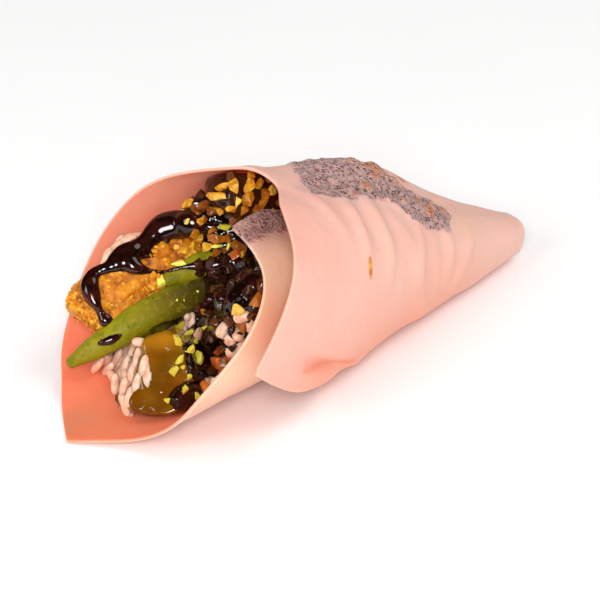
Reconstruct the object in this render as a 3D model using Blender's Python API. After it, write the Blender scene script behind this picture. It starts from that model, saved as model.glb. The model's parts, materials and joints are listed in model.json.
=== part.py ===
"""Temaki hand roll lying on its side.

One rectangular sheet of soft wrap is rolled into a cone about a point near the
middle of one long edge.  Corner A starts the roll at the bottom of the mouth
and opens as a flap; the sheet turns up the far side, over the top and down the
near side to corner B, and its outer end runs underneath.  The fillings lie
inside: a breaded strip, two avocado slices, a nut heap, two pools of sauce and
the rice that fills what is left down to the tip.

Lengths in part.py are millimetres in the tables and metres in the meshes.
Inside the roll a point is (a, y, h): a along the axis from the cone's apex
towards the mouth, y sideways, h square to the axis and upwards.
"""
import math

import bmesh
import bpy
from mathutils import Vector

MM = 0.001

# ---------------------------------------------------------------- the sheet
SHEET_THICKNESS = 0.7
PLY_PITCH = 1.2            # one ply and the air to the next
GAP = 0.35                 # clearance between neighbouring pieces
AXIS_TILT = 10.3           # the mouth stands higher than the tip, degrees
APEX_HEIGHT = 3.1          # the cone's apex above the table
APEX_X = 85.8
APEX_Y = 3.28
START_ANGLE = 182.0        # corner A, turned from straight up to the far side
TURN_A, TURN_B = 0.0, 276.0
TURN_FIRST, TURN_LAST = -165.0, 468.0
SHEET_START = 20.0         # the plies end inside the closed tip here
TIP_END = 14.0

# turn along the sheet in degrees: lean of the wall away from the axis
LEAN = ((-165, 8.8), (-100, 12.4), (-40, 11.8), (0, 11.7), (30, 12.3),
        (60, 14.0), (90, 14.1), (120, 13.8), (150, 14.0), (190, 13.8),
        (220, 16.0), (240, 17.1), (260, 16.2), (276, 15.7), (300, 15.8),
        (330, 13.8), (370, 13.7), (420, 14.6), (468, 14.7))
# turn along the sheet: how far the edge reaches from the apex
REACH_INNER_END = ((-165, 115), (-125, 117.5), (-90, 129), (-60, 139.5),
                   (-30, 144.5), (0, 155))
REACH_LONG_EDGE = ((0, 155), (20, 148), (45, 139.5), (75, 129), (110, 122.5),
                   (150, 113.5), (190, 103.5), (215, 113.5), (235, 120),
                   (255, 125.5), (276, 134))
REACH_OUTER_END = ((276, 134), (290, 119), (310, 98), (340, 86), (380, 79),
                   (468, 74))
# the filling pushes the top of the wrap out here
BULGE_HEIGHT, BULGE_AT, BULGE_LENGTH = 7.2, 69.0, 24.0
BULGE_ANGLE, BULGE_WIDTH = 19.0, 42.0


def hermite(stations, x):
    """A smooth curve through (x, value) stations that never overshoots."""
    xs = [s[0] for s in stations]
    ys = [s[1] for s in stations]
    if x <= xs[0]:
        return ys[0]
    if x >= xs[-1]:
        return ys[-1]
    step = [b - a for a, b in zip(xs, xs[1:])]
    rise = [(b - a) / s for a, b, s in zip(ys, ys[1:], step)]
    slope = [rise[0]]
    for k in range(1, len(xs) - 1):
        if rise[k - 1] * rise[k] <= 0:
            slope.append(0.0)
        else:
            wa, wb = 2 * step[k] + step[k - 1], step[k] + 2 * step[k - 1]
            slope.append((wa + wb) / (wa / rise[k - 1] + wb / rise[k]))
    slope.append(rise[-1])
    k = max(i for i in range(len(xs) - 1) if xs[i] <= x)
    u = (x - xs[k]) / step[k]
    return ((2 * u ** 3 - 3 * u ** 2 + 1) * ys[k]
            + (u ** 3 - 2 * u ** 2 + u) * step[k] * slope[k]
            + (3 * u ** 2 - 2 * u ** 3) * ys[k + 1]
            + (u ** 3 - u ** 2) * step[k] * slope[k + 1])


def smoothstep(u):
    u = min(1.0, max(0.0, u))
    return u * u * (3 - 2 * u)


def soft_min(p, q, width=0.8):
    low = min(p, q)
    return low - width * math.log(math.exp(-(p - low) / width)
                                  + math.exp(-(q - low) / width))


TILT = math.radians(AXIS_TILT)
AXIS = Vector((-math.cos(TILT), 0, math.sin(TILT)))
UP = Vector((math.sin(TILT), 0, math.cos(TILT)))
SIDE = Vector((0, 1, 0))
APEX = Vector((APEX_X, APEX_Y, APEX_HEIGHT))


def reach(turn):
    if turn < TURN_A:
        return hermite(REACH_INNER_END, turn)
    if turn <= TURN_B:
        return hermite(REACH_LONG_EDGE, turn)
    return hermite(REACH_OUTER_END, turn)


def around(turn):
    """Direction of a turn of the sheet, degrees from straight up."""
    return START_ANGLE - turn


def wall_radius(turn, a):
    """Distance from the axis to the middle of the sheet."""
    r = a * math.tan(math.radians(hermite(LEAN, turn)))
    r += PLY_PITCH * (turn - 108) / 360 + 0.6
    off = (around(turn) - BULGE_ANGLE + 180) % 360 - 180
    r += (smoothstep((turn - 95) / 35) * BULGE_HEIGHT
          * math.exp(-(off / BULGE_WIDTH) ** 2)
          * math.exp(-((a - BULGE_AT) / BULGE_LENGTH) ** 2))
    # the wrap rests flat on the table
    w = math.radians(around(turn))
    down = -(math.cos(w) * UP.z)
    if down > 0.05:
        plies = (TURN_LAST - turn) / 360
        if turn < TURN_LAST - 360:
            plies -= smoothstep((a - reach(turn + 360) - 3) / 12)
        height = APEX_HEIGHT + a * AXIS.z - PLY_PITCH * plies + 0.15
        r = soft_min(r, height / down)
    return r


def place(a, y, h):
    """World position in metres of a point inside the roll."""
    return (APEX + AXIS * a + SIDE * y + UP * h) * MM


def place_round(a, angle, r):
    w = math.radians(angle)
    p = APEX + AXIS * a + (UP * math.cos(w) + SIDE * math.sin(w)) * r
    p.z = max(p.z, 0.0)
    return p * MM


# ------------------------------------------------------------ mesh helpers
def clear_scene():
    for obj in list(bpy.data.objects):
        bpy.data.objects.remove(obj, do_unlink=True)


def material(name, colour, roughness):
    mat = bpy.data.materials.new(name)
    mat.use_nodes = True
    bsdf = mat.node_tree.nodes["Principled BSDF"]
    bsdf.inputs["Base Color"].default_value = (*colour, 1)
    bsdf.inputs["Roughness"].default_value = roughness
    bsdf.inputs["Metallic"].default_value = 0.0
    return mat


def finish(name, bm, mat=None):
    bmesh.ops.remove_doubles(bm, verts=bm.verts, dist=1e-7)
    bmesh.ops.recalc_face_normals(bm, faces=bm.faces)
    mesh = bpy.data.meshes.new(name)
    bm.to_mesh(mesh)
    bm.free()
    obj = bpy.data.objects.new(name, mesh)
    bpy.context.scene.collection.objects.link(obj)
    mesh.shade_smooth()
    if mat:
        mesh.materials.append(mat)
    else:
        obj.hide_render = True
        obj.display_type = 'WIRE'
    return obj


def boolean(obj, tool, operation):
    mod = obj.modifiers.new(operation.lower(), 'BOOLEAN')
    mod.operation = operation
    mod.solver = 'EXACT'
    mod.object = tool
    return mod


def skin(rings, close_start=True, close_end=True):
    """A closed body over rings of equal length."""
    bm = bmesh.new()
    rows = [[bm.verts.new(p) for p in ring] for ring in rings]
    n = len(rows[0])
    for low, high in zip(rows, rows[1:]):
        for i in range(n):
            j = (i + 1) % n
            bm.faces.new((low[i], low[j], high[j], high[i]))
    for row, wanted in ((rows[0], close_start), (rows[-1], close_end)):
        if wanted:
            middle = bm.verts.new(sum((v.co for v in row), Vector()) / n)
            for i in range(n):
                bm.faces.new((row[i], row[(i + 1) % n], middle))
    return bm


# ---------------------------------------------------------------- the wrap
def turns():
    out = []
    for start, end, count in ((TURN_FIRST, TURN_A, 20), (TURN_A, TURN_B, 34),
                              (TURN_B, TURN_LAST, 24)):
        out += [start + (end - start) * i / count for i in range(count)]
    return out + [TURN_LAST]


def make_wrap(rows=10):
    bm = bmesh.new()
    layers = {}
    for side in (-1, 1):
        grid = []
        for turn in turns():
            column = []
            for j in range(rows + 1):
                a = SHEET_START + (reach(turn) - SHEET_START) * j / rows
                r = wall_radius(turn, a) + side * SHEET_THICKNESS / 2
                p = place_round(a, around(turn), r)
                if side < 0:
                    p.z = max(p.z, 0.0004)
                column.append(bm.verts.new(p))
            grid.append(column)
        layers[side] = grid
    inner, outer = layers[-1], layers[1]
    last = len(inner) - 1
    for i in range(last):
        for j in range(rows):
            for g in (inner, outer):
                bm.faces.new((g[i][j], g[i + 1][j], g[i + 1][j + 1], g[i][j + 1]))
        for j in (0, rows):
            bm.faces.new((inner[i][j], inner[i + 1][j], outer[i + 1][j], outer[i][j]))
    for i in (0, last):
        for j in range(rows):
            bm.faces.new((inner[i][j], inner[i][j + 1], outer[i][j + 1], outer[i][j]))
    return bm


def outer_radius(angle, a):
    """Outside of the outermost ply, evened out where the sheet ends."""
    turn = (START_ANGLE - angle - (TURN_LAST - 360)) % 360 + TURN_LAST - 360
    r = wall_radius(turn, a)
    into = (turn - TURN_LAST + 360) / 60
    if into < 1:
        r = max(r, wall_radius(turn + 360 if into <= 0 else TURN_LAST, a) * (1 - into) + r * into)
    return r + SHEET_THICKNESS / 2


def make_tip(sides=36):
    rings = []
    for a, extra in ((24.5, -0.45), (21.5, 0.3), (18.6, 0.25)):
        rings.append([place_round(a, 360 * i / sides, outer_radius(360 * i / sides, a) + extra)
                      for i in range(sides)])
    for u in (0.45, 0.75, 0.93, 1.0):
        a = 18.6 - (18.6 - TIP_END) * u
        part = max(0.25, math.sqrt(1 - u ** 2))
        rings.append([place_round(a, 360 * i / sides,
                                  (outer_radius(360 * i / sides, a) + 0.2) * part)
                      for i in range(sides)])
    return skin(rings)


# ---------------------------------------------------------- the hollow inside
def hollow_radius(angle, a):
    """Room inside the innermost ply."""
    out = []
    for d in (-14, -7, 0, 7, 14):
        turn = START_ANGLE - angle - d
        turn = (turn - TURN_FIRST) % 360 + TURN_FIRST
        out.append(wall_radius(turn, a))
    return min(out) - SHEET_THICKNESS / 2 - GAP


def make_hollow(start=24.9, end=168.0, rows=12, sides=36):
    rings = []
    for j in range(rows + 1):
        a = start + (end - start) * j / rows
        rings.append([place_round(a, 360 * i / sides, hollow_radius(360 * i / sides, a))
                      for i in range(sides)])
    return skin(rings)


# ------------------------------------------------------------- the fillings
OPEN_SIDE = Vector((-0.575, -0.665, 0.477))   # the way the filling faces

# (a, y, h) along the middle, half width, half thickness
BREADED_STRIP = (((47, 3, 4), 4.2, 3.2), ((68, 7, 6.5), 5.6, 4.2),
                 ((82, 11.5, 8), 6.4, 4.8), ((96, 15.5, 7.5), 7.0, 5.2),
                 ((110, 18.5, 3.0), 7.6, 5.4), ((122, 20.3, -4.0), 8.0, 5.3),
                 ((132.5, 21.2, -10.5), 7.4, 4.6))
AVOCADO_FRONT = (((50, -2, 0), 3.0, 2.6), ((70, 1, 1), 3.8, 3.0),
                 ((90, 6, 0.5), 4.2, 3.3), ((108, 9, -3.7), 4.3, 3.4),
                 ((124, 11.5, -9.5), 4.0, 3.2), ((135, 14.5, -16.3), 3.0, 2.5),
                 ((142, 17.3, -21.5), 1.2, 1.0))
AVOCADO_BACK = (((56, 0, 4), 2.4, 2.2), ((78, 4, 6), 3.2, 2.6),
                ((96, 7.5, 5), 3.6, 2.8), ((109, 10.3, 2), 3.2, 2.4),
                ((119, 12.7, -2), 1.6, 1.3))


def loft(stations, per_span=3, sides=16, square=0.0, grow=0.0, rough=0.0):
    """A bar through stations: square 0 is oval and 1 nearly a box."""
    middles = [Vector(place(*s[0])) for s in stations]
    count = (len(stations) - 1) * per_span
    rings = []
    for k in range(count + 1):
        u = k / count * (len(stations) - 1)
        pick = [hermite([(i, m[c]) for i, m in enumerate(middles)], u) for c in range(3)]
        centre = Vector(pick)
        ahead = Vector([hermite([(i, m[c]) for i, m in enumerate(middles)],
                                min(u + 0.1, len(stations) - 1)) for c in range(3)])
        behind = Vector([hermite([(i, m[c]) for i, m in enumerate(middles)],
                                 max(u - 0.1, 0)) for c in range(3)])
        along = (ahead - behind).normalized()
        thin = (OPEN_SIDE - along * OPEN_SIDE.dot(along)).normalized()
        wide = along.cross(thin)
        width = hermite([(i, s[1]) for i, s in enumerate(stations)], u) + grow
        thick = hermite([(i, s[2]) for i, s in enumerate(stations)], u) + grow
        if k in (0, count):
            centre = centre + along * (grow * MM if k else -grow * MM)
        ring = []
        for i in range(sides):
            w = 2 * math.pi * i / sides
            c, s = math.cos(w), math.sin(w)
            power = 1 - 0.55 * square
            cx = math.copysign(abs(c) ** power, c)
            sx = math.copysign(abs(s) ** power, s)
            wave = 1 + rough * (math.sin(2.3 * w + 1.7 * k) + math.sin(3.9 * k + 1.3 * w)) / 2
            ring.append(centre + (wide * cx * width + thin * sx * thick) * wave * MM)
        rings.append(ring)
    return skin(rings)


def blob(a, y, h, lengths, turn=(0, 0, 0), grow=0.0, rough=0.0, level=3):
    """A lumpy ellipsoid: half lengths along the axis, sideways and upwards."""
    bm = bmesh.new()
    bmesh.ops.create_icosphere(bm, subdivisions=level, radius=1.0)
    for v in bm.verts:
        p = v.co.copy()
        p *= 1 + rough * (math.sin(5 * p.x + 2 * p.y) + math.sin(6 * p.y - 3 * p.z)
                          + math.sin(7 * p.z + 4 * p.x)) / 3
        p = Vector((p.x * (lengths[0] + grow), p.y * (lengths[1] + grow), p.z * (lengths[2] + grow)))
        for axis, degrees in zip('XYZ', turn):
            w = math.radians(degrees)
            c, s = math.cos(w), math.sin(w)
            if axis == 'X':
                p = Vector((p.x, c * p.y - s * p.z, s * p.y + c * p.z))
            elif axis == 'Y':
                p = Vector((c * p.x + s * p.z, p.y, c * p.z - s * p.x))
            else:
                p = Vector((c * p.x - s * p.y, s * p.x + c * p.y, p.z))
        v.co = place(a + p.x, y + p.y, h + p.z)
    return bm


# the front of the rice: direction round the axis, how far out it comes
RICE_EDGE = ((-180, 134), (-150, 128), (-120, 120), (-90, 112), (-60, 104),
             (-30, 94), (0, 90), (30, 92), (60, 108), (90, 119), (120, 127),
             (150, 134), (180, 134))
RICE_MIDDLE = 106.0


def make_rice(sides=36, rows=8):
    rings = []
    for j in range(rows + 1):
        ring = []
        for i in range(sides):
            angle = -180 + 360 * i / sides
            edge = hermite(RICE_EDGE, angle)
            a = 26.5 + (edge - 26.5) * j / rows
            lumps = 0.25 * math.sin(9 * math.radians(angle) + 2.1 * j)
            ring.append(place_round(a, angle, hollow_radius(angle, a) - 0.3 + min(0.0, lumps)))
        rings.append(ring)
    for part in (0.8, 0.55, 0.3):
        ring = []
        for i in range(sides):
            angle = -180 + 360 * i / sides
            edge = hermite(RICE_EDGE, angle)
            a = RICE_MIDDLE + (edge - RICE_MIDDLE) * part ** 1.5
            a += 0.8 * math.sin(5 * math.radians(angle) + 9 * part)
            ring.append(place_round(a, angle, (hollow_radius(angle, edge) - 0.3) * part))
        rings.append(ring)
    return skin(rings)


# half lengths along the axis, sideways and upwards
POOL = dict(a=126.5, y=-3.5, h=-19.0, lengths=(10.5, 10.0, 9.0), turn=(0, 0, 0))
DARK = dict(a=109.5, y=-10.0, h=-5.5, lengths=(12.0, 10.5, 19.5), turn=(22, 22, 0))
NUTS = dict(a=97.0, y=8.0, h=19.5, lengths=(14.0, 13.0, 7.0), turn=(0, 0, 0))


def main():
    clear_scene()
    wrap_mat = material("soft_wrap", (0.97, 0.60, 0.50), 0.55)
    rice_mat = material("cooked_rice", (0.90, 0.86, 0.80), 0.35)
    crust_mat = material("fried_crumb", (0.68, 0.33, 0.06), 0.7)
    avocado_mat = material("avocado", (0.30, 0.33, 0.05), 0.4)
    amber_mat = material("amber_sauce", (0.30, 0.16, 0.03), 0.12)
    dark_mat = material("dark_sauce", (0.03, 0.012, 0.006), 0.1)
    nut_mat = material("chopped_nuts", (0.55, 0.30, 0.06), 0.4)

    wrap = finish("wrap", make_wrap(), wrap_mat)
    boolean(wrap, finish("tip_tool", make_tip()), 'UNION')

    hollow = finish("hollow_tool", make_hollow())
    strip_style = dict(square=0.6, rough=0.05, sides=18, per_span=3)
    slice_style = dict(square=0.0, sides=14, per_span=3)

    strip = finish("breaded_strip", loft(BREADED_STRIP, **strip_style), crust_mat)
    strip_tool = finish("strip_tool", loft(BREADED_STRIP, grow=GAP, **strip_style))
    front = finish("avocado_front", loft(AVOCADO_FRONT, **slice_style), avocado_mat)
    front_tool = finish("front_tool", loft(AVOCADO_FRONT, grow=GAP, **slice_style))
    back = finish("avocado_back", loft(AVOCADO_BACK, **slice_style), avocado_mat)
    back_tool = finish("back_tool", loft(AVOCADO_BACK, grow=GAP, **slice_style))
    boolean(front, strip_tool, 'DIFFERENCE')
    boolean(back, strip_tool, 'DIFFERENCE')
    boolean(back, front_tool, 'DIFFERENCE')

    pool = finish("sauce_pool", blob(rough=0.04, **POOL), amber_mat)
    pool_tool = finish("pool_tool", blob(rough=0.04, grow=GAP, **POOL))
    dark = finish("dark_sauce", blob(rough=0.07, **DARK), dark_mat)
    dark_tool = finish("dark_tool", blob(rough=0.07, grow=GAP, **DARK))
    nuts = finish("nut_heap", blob(rough=0.10, **NUTS), nut_mat)
    nuts_tool = finish("nuts_tool", blob(rough=0.10, grow=GAP, **NUTS))
    rice = finish("rice", make_rice(), rice_mat)

    for obj in (pool, dark, nuts):
        boolean(obj, hollow, 'INTERSECT')
    for obj in (pool, dark, nuts, rice):
        for tool in (strip_tool, front_tool, back_tool):
            boolean(obj, tool, 'DIFFERENCE')
    boolean(dark, pool_tool, 'DIFFERENCE')
    boolean(nuts, dark_tool, 'DIFFERENCE')
    for tool in (pool_tool, dark_tool, nuts_tool):
        boolean(rice, tool, 'DIFFERENCE')


main()
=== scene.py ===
"""Temaki hand roll: a cone of soft wrap round rice, a breaded strip, avocado, nuts and sauces.

A point inside the roll is (a, y, h) in millimetres: a along the axis from the
cone's apex to the mouth, y sideways and h square to the axis and upwards.
A place on the open face is (across, rise), seen square on from the open side.
"""

import json
import math
import random

import bpy
import numpy as np
from bpy.props import FloatProperty, FloatVectorProperty, IntProperty, PointerProperty
from mathutils import Matrix, Vector, noise
from mathutils.bvhtree import BVHTree

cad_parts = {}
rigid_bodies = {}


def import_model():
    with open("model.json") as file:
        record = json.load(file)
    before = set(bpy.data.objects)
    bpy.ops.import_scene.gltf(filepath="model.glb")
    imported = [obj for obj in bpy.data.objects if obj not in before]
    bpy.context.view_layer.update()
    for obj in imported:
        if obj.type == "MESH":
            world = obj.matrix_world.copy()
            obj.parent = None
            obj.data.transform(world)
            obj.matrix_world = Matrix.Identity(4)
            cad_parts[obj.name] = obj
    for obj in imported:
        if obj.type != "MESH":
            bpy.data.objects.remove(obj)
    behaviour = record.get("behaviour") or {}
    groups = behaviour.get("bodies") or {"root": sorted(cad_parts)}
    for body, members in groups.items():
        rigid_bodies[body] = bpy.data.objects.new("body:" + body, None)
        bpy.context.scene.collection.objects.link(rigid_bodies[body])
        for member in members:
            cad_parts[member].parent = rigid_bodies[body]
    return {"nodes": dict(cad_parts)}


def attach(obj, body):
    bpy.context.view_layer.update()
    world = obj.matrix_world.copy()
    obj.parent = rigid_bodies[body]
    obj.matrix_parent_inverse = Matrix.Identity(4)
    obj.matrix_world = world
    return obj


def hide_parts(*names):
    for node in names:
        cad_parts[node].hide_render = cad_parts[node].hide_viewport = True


bl_info = {
    "name": "Temaki Hand Roll",
    "version": (1, 0, 0),
    "blender": (4, 5, 0),
    "location": "View3D > Sidebar > Hand Roll",
    "description": "Dresses the packed hand roll with its wrap, rice, fillings, sauces and nuts",
    "category": "Add Mesh",
}

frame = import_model()
MM = 0.001

# ------------------------------------------------------- the rolled sheet
AXIS_TILT = 10.3
APEX = Vector((85.8, 3.28, 3.1))
START_ANGLE = 182.0
PLY_PITCH = 1.2
TURN_FIRST, TURN_A, TURN_B, TURN_LAST = -190.0, 0.0, 276.0, 468.0
SHEET_START, TIP_END = 20.0, 14.0

LEAN = ((-190, 10.3), (-178, 9.4), (-165, 8.8), (-100, 12.4), (-40, 11.8), (0, 11.7),
        (30, 12.3), (60, 14.0), (90, 14.1), (120, 13.8), (150, 14.0), (190, 13.8),
        (220, 16.0), (240, 17.1), (260, 16.2), (276, 15.7), (300, 15.8),
        (330, 13.8), (370, 13.7), (420, 14.6), (468, 14.7))
REACH_INNER_END = ((-190, 100), (-178, 108), (-165, 115), (-125, 117.5), (-90, 129),
                   (-60, 139.5), (-30, 144.5), (0, 155))
REACH_LONG_EDGE = ((0, 155), (20, 148), (45, 139.5), (75, 129), (110, 122.5),
                   (150, 113.5), (190, 103.5), (215, 113.5), (235, 120),
                   (255, 125.5), (276, 134))
REACH_OUTER_END = ((276, 134), (290, 119), (310, 98), (340, 86), (380, 79), (468, 74))
BULGE_HEIGHT, BULGE_AT, BULGE_LENGTH = 7.2, 69.0, 24.0
BULGE_ANGLE, BULGE_WIDTH = 19.0, 42.0

TILT = math.radians(AXIS_TILT)
AXIS = Vector((-math.cos(TILT), 0, math.sin(TILT)))
UP = Vector((math.sin(TILT), 0, math.cos(TILT)))
SIDE = Vector((0, 1, 0))

# the open face: which way it looks, across it to the right, and up it
OPEN_SIDE = Vector((-0.5745, -0.6650, 0.4772)).normalized()
ACROSS = Vector((0.7567, -0.6537, 0.0)).normalized()
RISE = OPEN_SIDE.cross(ACROSS)
FACE_MIDDLE = APEX + AXIS * 118


def hermite(stations, x):
    """A smooth curve through (x, value) stations that never overshoots."""
    if x <= stations[0][0]:
        return stations[0][1]
    if x >= stations[-1][0]:
        return stations[-1][1]
    k = 0
    while stations[k + 1][0] < x:
        k += 1

    def rise(i):
        return (stations[i + 1][1] - stations[i][1]) / (stations[i + 1][0] - stations[i][0])

    def slope(i):
        if i == 0:
            return rise(0)
        if i == len(stations) - 1:
            return rise(i - 1)
        before, after = rise(i - 1), rise(i)
        if before * after <= 0:
            return 0.0
        sa, sb = stations[i][0] - stations[i - 1][0], stations[i + 1][0] - stations[i][0]
        wa, wb = 2 * sb + sa, sb + 2 * sa
        return (wa + wb) / (wa / before + wb / after)

    step = stations[k + 1][0] - stations[k][0]
    u = (x - stations[k][0]) / step
    return ((2 * u ** 3 - 3 * u ** 2 + 1) * stations[k][1]
            + (u ** 3 - 2 * u ** 2 + u) * step * slope(k)
            + (3 * u ** 2 - 2 * u ** 3) * stations[k + 1][1]
            + (u ** 3 - u ** 2) * step * slope(k + 1))


def smoothstep(u):
    u = min(1.0, max(0.0, u))
    return u * u * (3 - 2 * u)


def soft_min(p, q, width=0.8):
    low = min(p, q)
    return low - width * math.log(math.exp(-(p - low) / width) + math.exp(-(q - low) / width))


def reach(turn):
    if turn < TURN_A:
        return hermite(REACH_INNER_END, turn)
    if turn <= TURN_B:
        return hermite(REACH_LONG_EDGE, turn)
    return hermite(REACH_OUTER_END, turn)


def around(turn):
    """Direction of a turn of the sheet, degrees from straight up."""
    return START_ANGLE - turn


def wall_radius(turn, a):
    """Distance from the axis to the middle of the sheet."""
    r = max(a, 0.0) * math.tan(math.radians(hermite(LEAN, turn)))
    r += PLY_PITCH * (turn - 108) / 360 * (smoothstep((a - 15) / 9) if turn > 108 else 1.0) + 0.6
    off = (around(turn) - BULGE_ANGLE + 180) % 360 - 180
    r += (smoothstep((turn - 95) / 35) * BULGE_HEIGHT
          * math.exp(-(off / BULGE_WIDTH) ** 2)
          * math.exp(-((a - BULGE_AT) / BULGE_LENGTH) ** 2))
    w = math.radians(around(turn))
    down = -(math.cos(w) * UP.z)
    if down > 0.05:
        plies = (TURN_LAST - turn) / 360
        if turn < TURN_LAST - 360:
            plies -= smoothstep((a - reach(turn + 360) - 3) / 12)
        height = APEX.z + a * AXIS.z - PLY_PITCH * plies + 0.15
        r = soft_min(r, height / down)
    return r


def place(a, y, h):
    """World position in metres of a point inside the roll."""
    return (APEX + AXIS * a + SIDE * y + UP * h) * MM


def place_round(a, angle, r):
    w = math.radians(angle)
    p = APEX + AXIS * a + (UP * math.cos(w) + SIDE * math.sin(w)) * r
    p.z = max(p.z, 0.0)
    return p * MM


def in_roll(p):
    """(a, angle, r) of a world position in metres."""
    q = p / MM - APEX
    y, h = q.dot(SIDE), q.dot(UP)
    return q.dot(AXIS), math.degrees(math.atan2(y, h)), math.hypot(y, h)


def room(angle, a):
    """Distance from the axis to the inside of the innermost ply."""
    turn = (START_ANGLE - angle - TURN_FIRST) % 360 + TURN_FIRST
    return min(wall_radius(turn - 6, a), wall_radius(turn + 6, a)) - 0.65


def sheet_start(turn):
    """Inner plies end inside the tip; the outer one closes it."""
    return SHEET_START + (TIP_END - SHEET_START) * smoothstep((turn - 96) / 12)


def on_face(across, rise, trees):
    """Where a thing dropped square onto the open face lands, and the way that place faces."""
    start = (FACE_MIDDLE + ACROSS * across + RISE * rise + OPEN_SIDE * 70) * MM
    best = None
    for tree in trees:
        spot, normal, _, distance = tree.ray_cast(start, -OPEN_SIDE, 0.2)
        if spot is not None and (best is None or distance < best[2]):
            best = (spot, normal if normal.dot(OPEN_SIDE) > 0 else -normal, distance)
    return best[:2] if best else (None, None)


# ------------------------------------------------------------ ways of making
def deselect():
    if bpy.context.object and bpy.context.object.mode != 'OBJECT':
        bpy.ops.object.mode_set(mode='OBJECT')
    bpy.ops.object.select_all(action='DESELECT')


def pick(*pieces):
    deselect()
    for piece in pieces:
        piece.select_set(True)
    bpy.context.view_layer.objects.active = pieces[0]


def close_and_face_out(piece, merge=1e-6):
    pick(piece)
    bpy.ops.object.mode_set(mode='EDIT')
    bpy.ops.mesh.select_all(action='SELECT')
    bpy.ops.mesh.remove_doubles(threshold=merge)
    bpy.ops.mesh.normals_make_consistent(inside=False)
    bpy.ops.object.mode_set(mode='OBJECT')


def apply_modifiers(piece):
    pick(piece)
    for modifier in list(piece.modifiers):
        bpy.ops.object.modifier_apply(modifier=modifier.name)


def shaped_grid(name, cols, rows, position):
    """A grid primitive laid over position(u, v), with u and v from 0 to 1."""
    deselect()
    bpy.ops.mesh.primitive_grid_add(x_subdivisions=cols, y_subdivisions=rows, size=1.0)
    piece = bpy.context.object
    piece.name = piece.data.name = name
    for vert in piece.data.vertices:
        vert.co = position(vert.co.x + 0.5, vert.co.y + 0.5)
    return piece


def join(name, pieces):
    pick(*pieces)
    if len(pieces) > 1:
        bpy.ops.object.join()
    piece = bpy.context.object
    piece.name = piece.data.name = name
    return piece


def copy_of(shape, matrix, **values):
    """A copy with its own mesh, put in place, with one value per named attribute."""
    copy = shape.copy()
    copy.data = shape.data.copy()
    copy.data.transform(matrix)
    if matrix.determinant() < 0:
        copy.data.flip_normals()
    bpy.context.scene.collection.objects.link(copy)
    for key, value in values.items():
        layer = copy.data.attributes.new(key, 'FLOAT', 'POINT')
        layer.data.foreach_set("value", [value] * len(copy.data.vertices))
    return copy


def drop(shapes):
    for shape in shapes:
        bpy.data.objects.remove(shape, do_unlink=True)


def put_attribute(piece, name, values):
    layer = piece.data.attributes.get(name) or piece.data.attributes.new(name, 'FLOAT', 'POINT')
    layer.data.foreach_set("value", values)


def settle(piece, material, slot, *nodes, angle=None):
    """The last step for a finished piece: its finish, what carries it and what it stands for."""
    piece.data.materials.clear()
    piece.data.materials.append(material)
    pick(piece)
    if angle is None:
        bpy.ops.object.shade_smooth()
    else:
        bpy.ops.object.shade_smooth_by_angle(angle=math.radians(angle))
    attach(piece, "root")
    if nodes:
        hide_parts(*nodes)
    return piece


def tree_of(piece):
    mesh = piece.data
    return BVHTree.FromPolygons([v.co for v in mesh.vertices], [tuple(p.vertices) for p in mesh.polygons])


def turned(direction, spin, x, y, z, spot):
    """A matrix that lays a shape's z along direction, spun round it, sized x, y, z, at spot."""
    quat = direction.to_track_quat('Z', 'Y')
    return (Matrix.Translation(spot) @ quat.to_matrix().to_4x4()
            @ Matrix.Rotation(spin, 4, 'Z') @ Matrix.Diagonal((x, y, z, 1)))


def lying(normal, spin, x, y, z, spot):
    """As turned, with the shape's long x lying flat on the surface."""
    return turned(normal, spin, x, y, z, spot)


def rough_noise(p, size, octaves=3):
    """Fractal noise about -1 to 1 for a world position, its largest feature size in mm."""
    return noise.fractal(p / MM / size, 1.0, 2.0, octaves, noise_basis='PERLIN_ORIGINAL')


# ---------------------------------------------------------------- finishes
def new_finish(name, colour, roughness, **sockets):
    mat = bpy.data.materials.new(name)
    mat.use_nodes = True
    tree = mat.node_tree
    shader = tree.nodes["Principled BSDF"]
    shader.inputs["Base Color"].default_value = (*colour, 1)
    shader.inputs["Roughness"].default_value = roughness
    for key, value in sockets.items():
        shader.inputs[key.replace("_", " ")].default_value = value
    return mat, tree, shader


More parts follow.
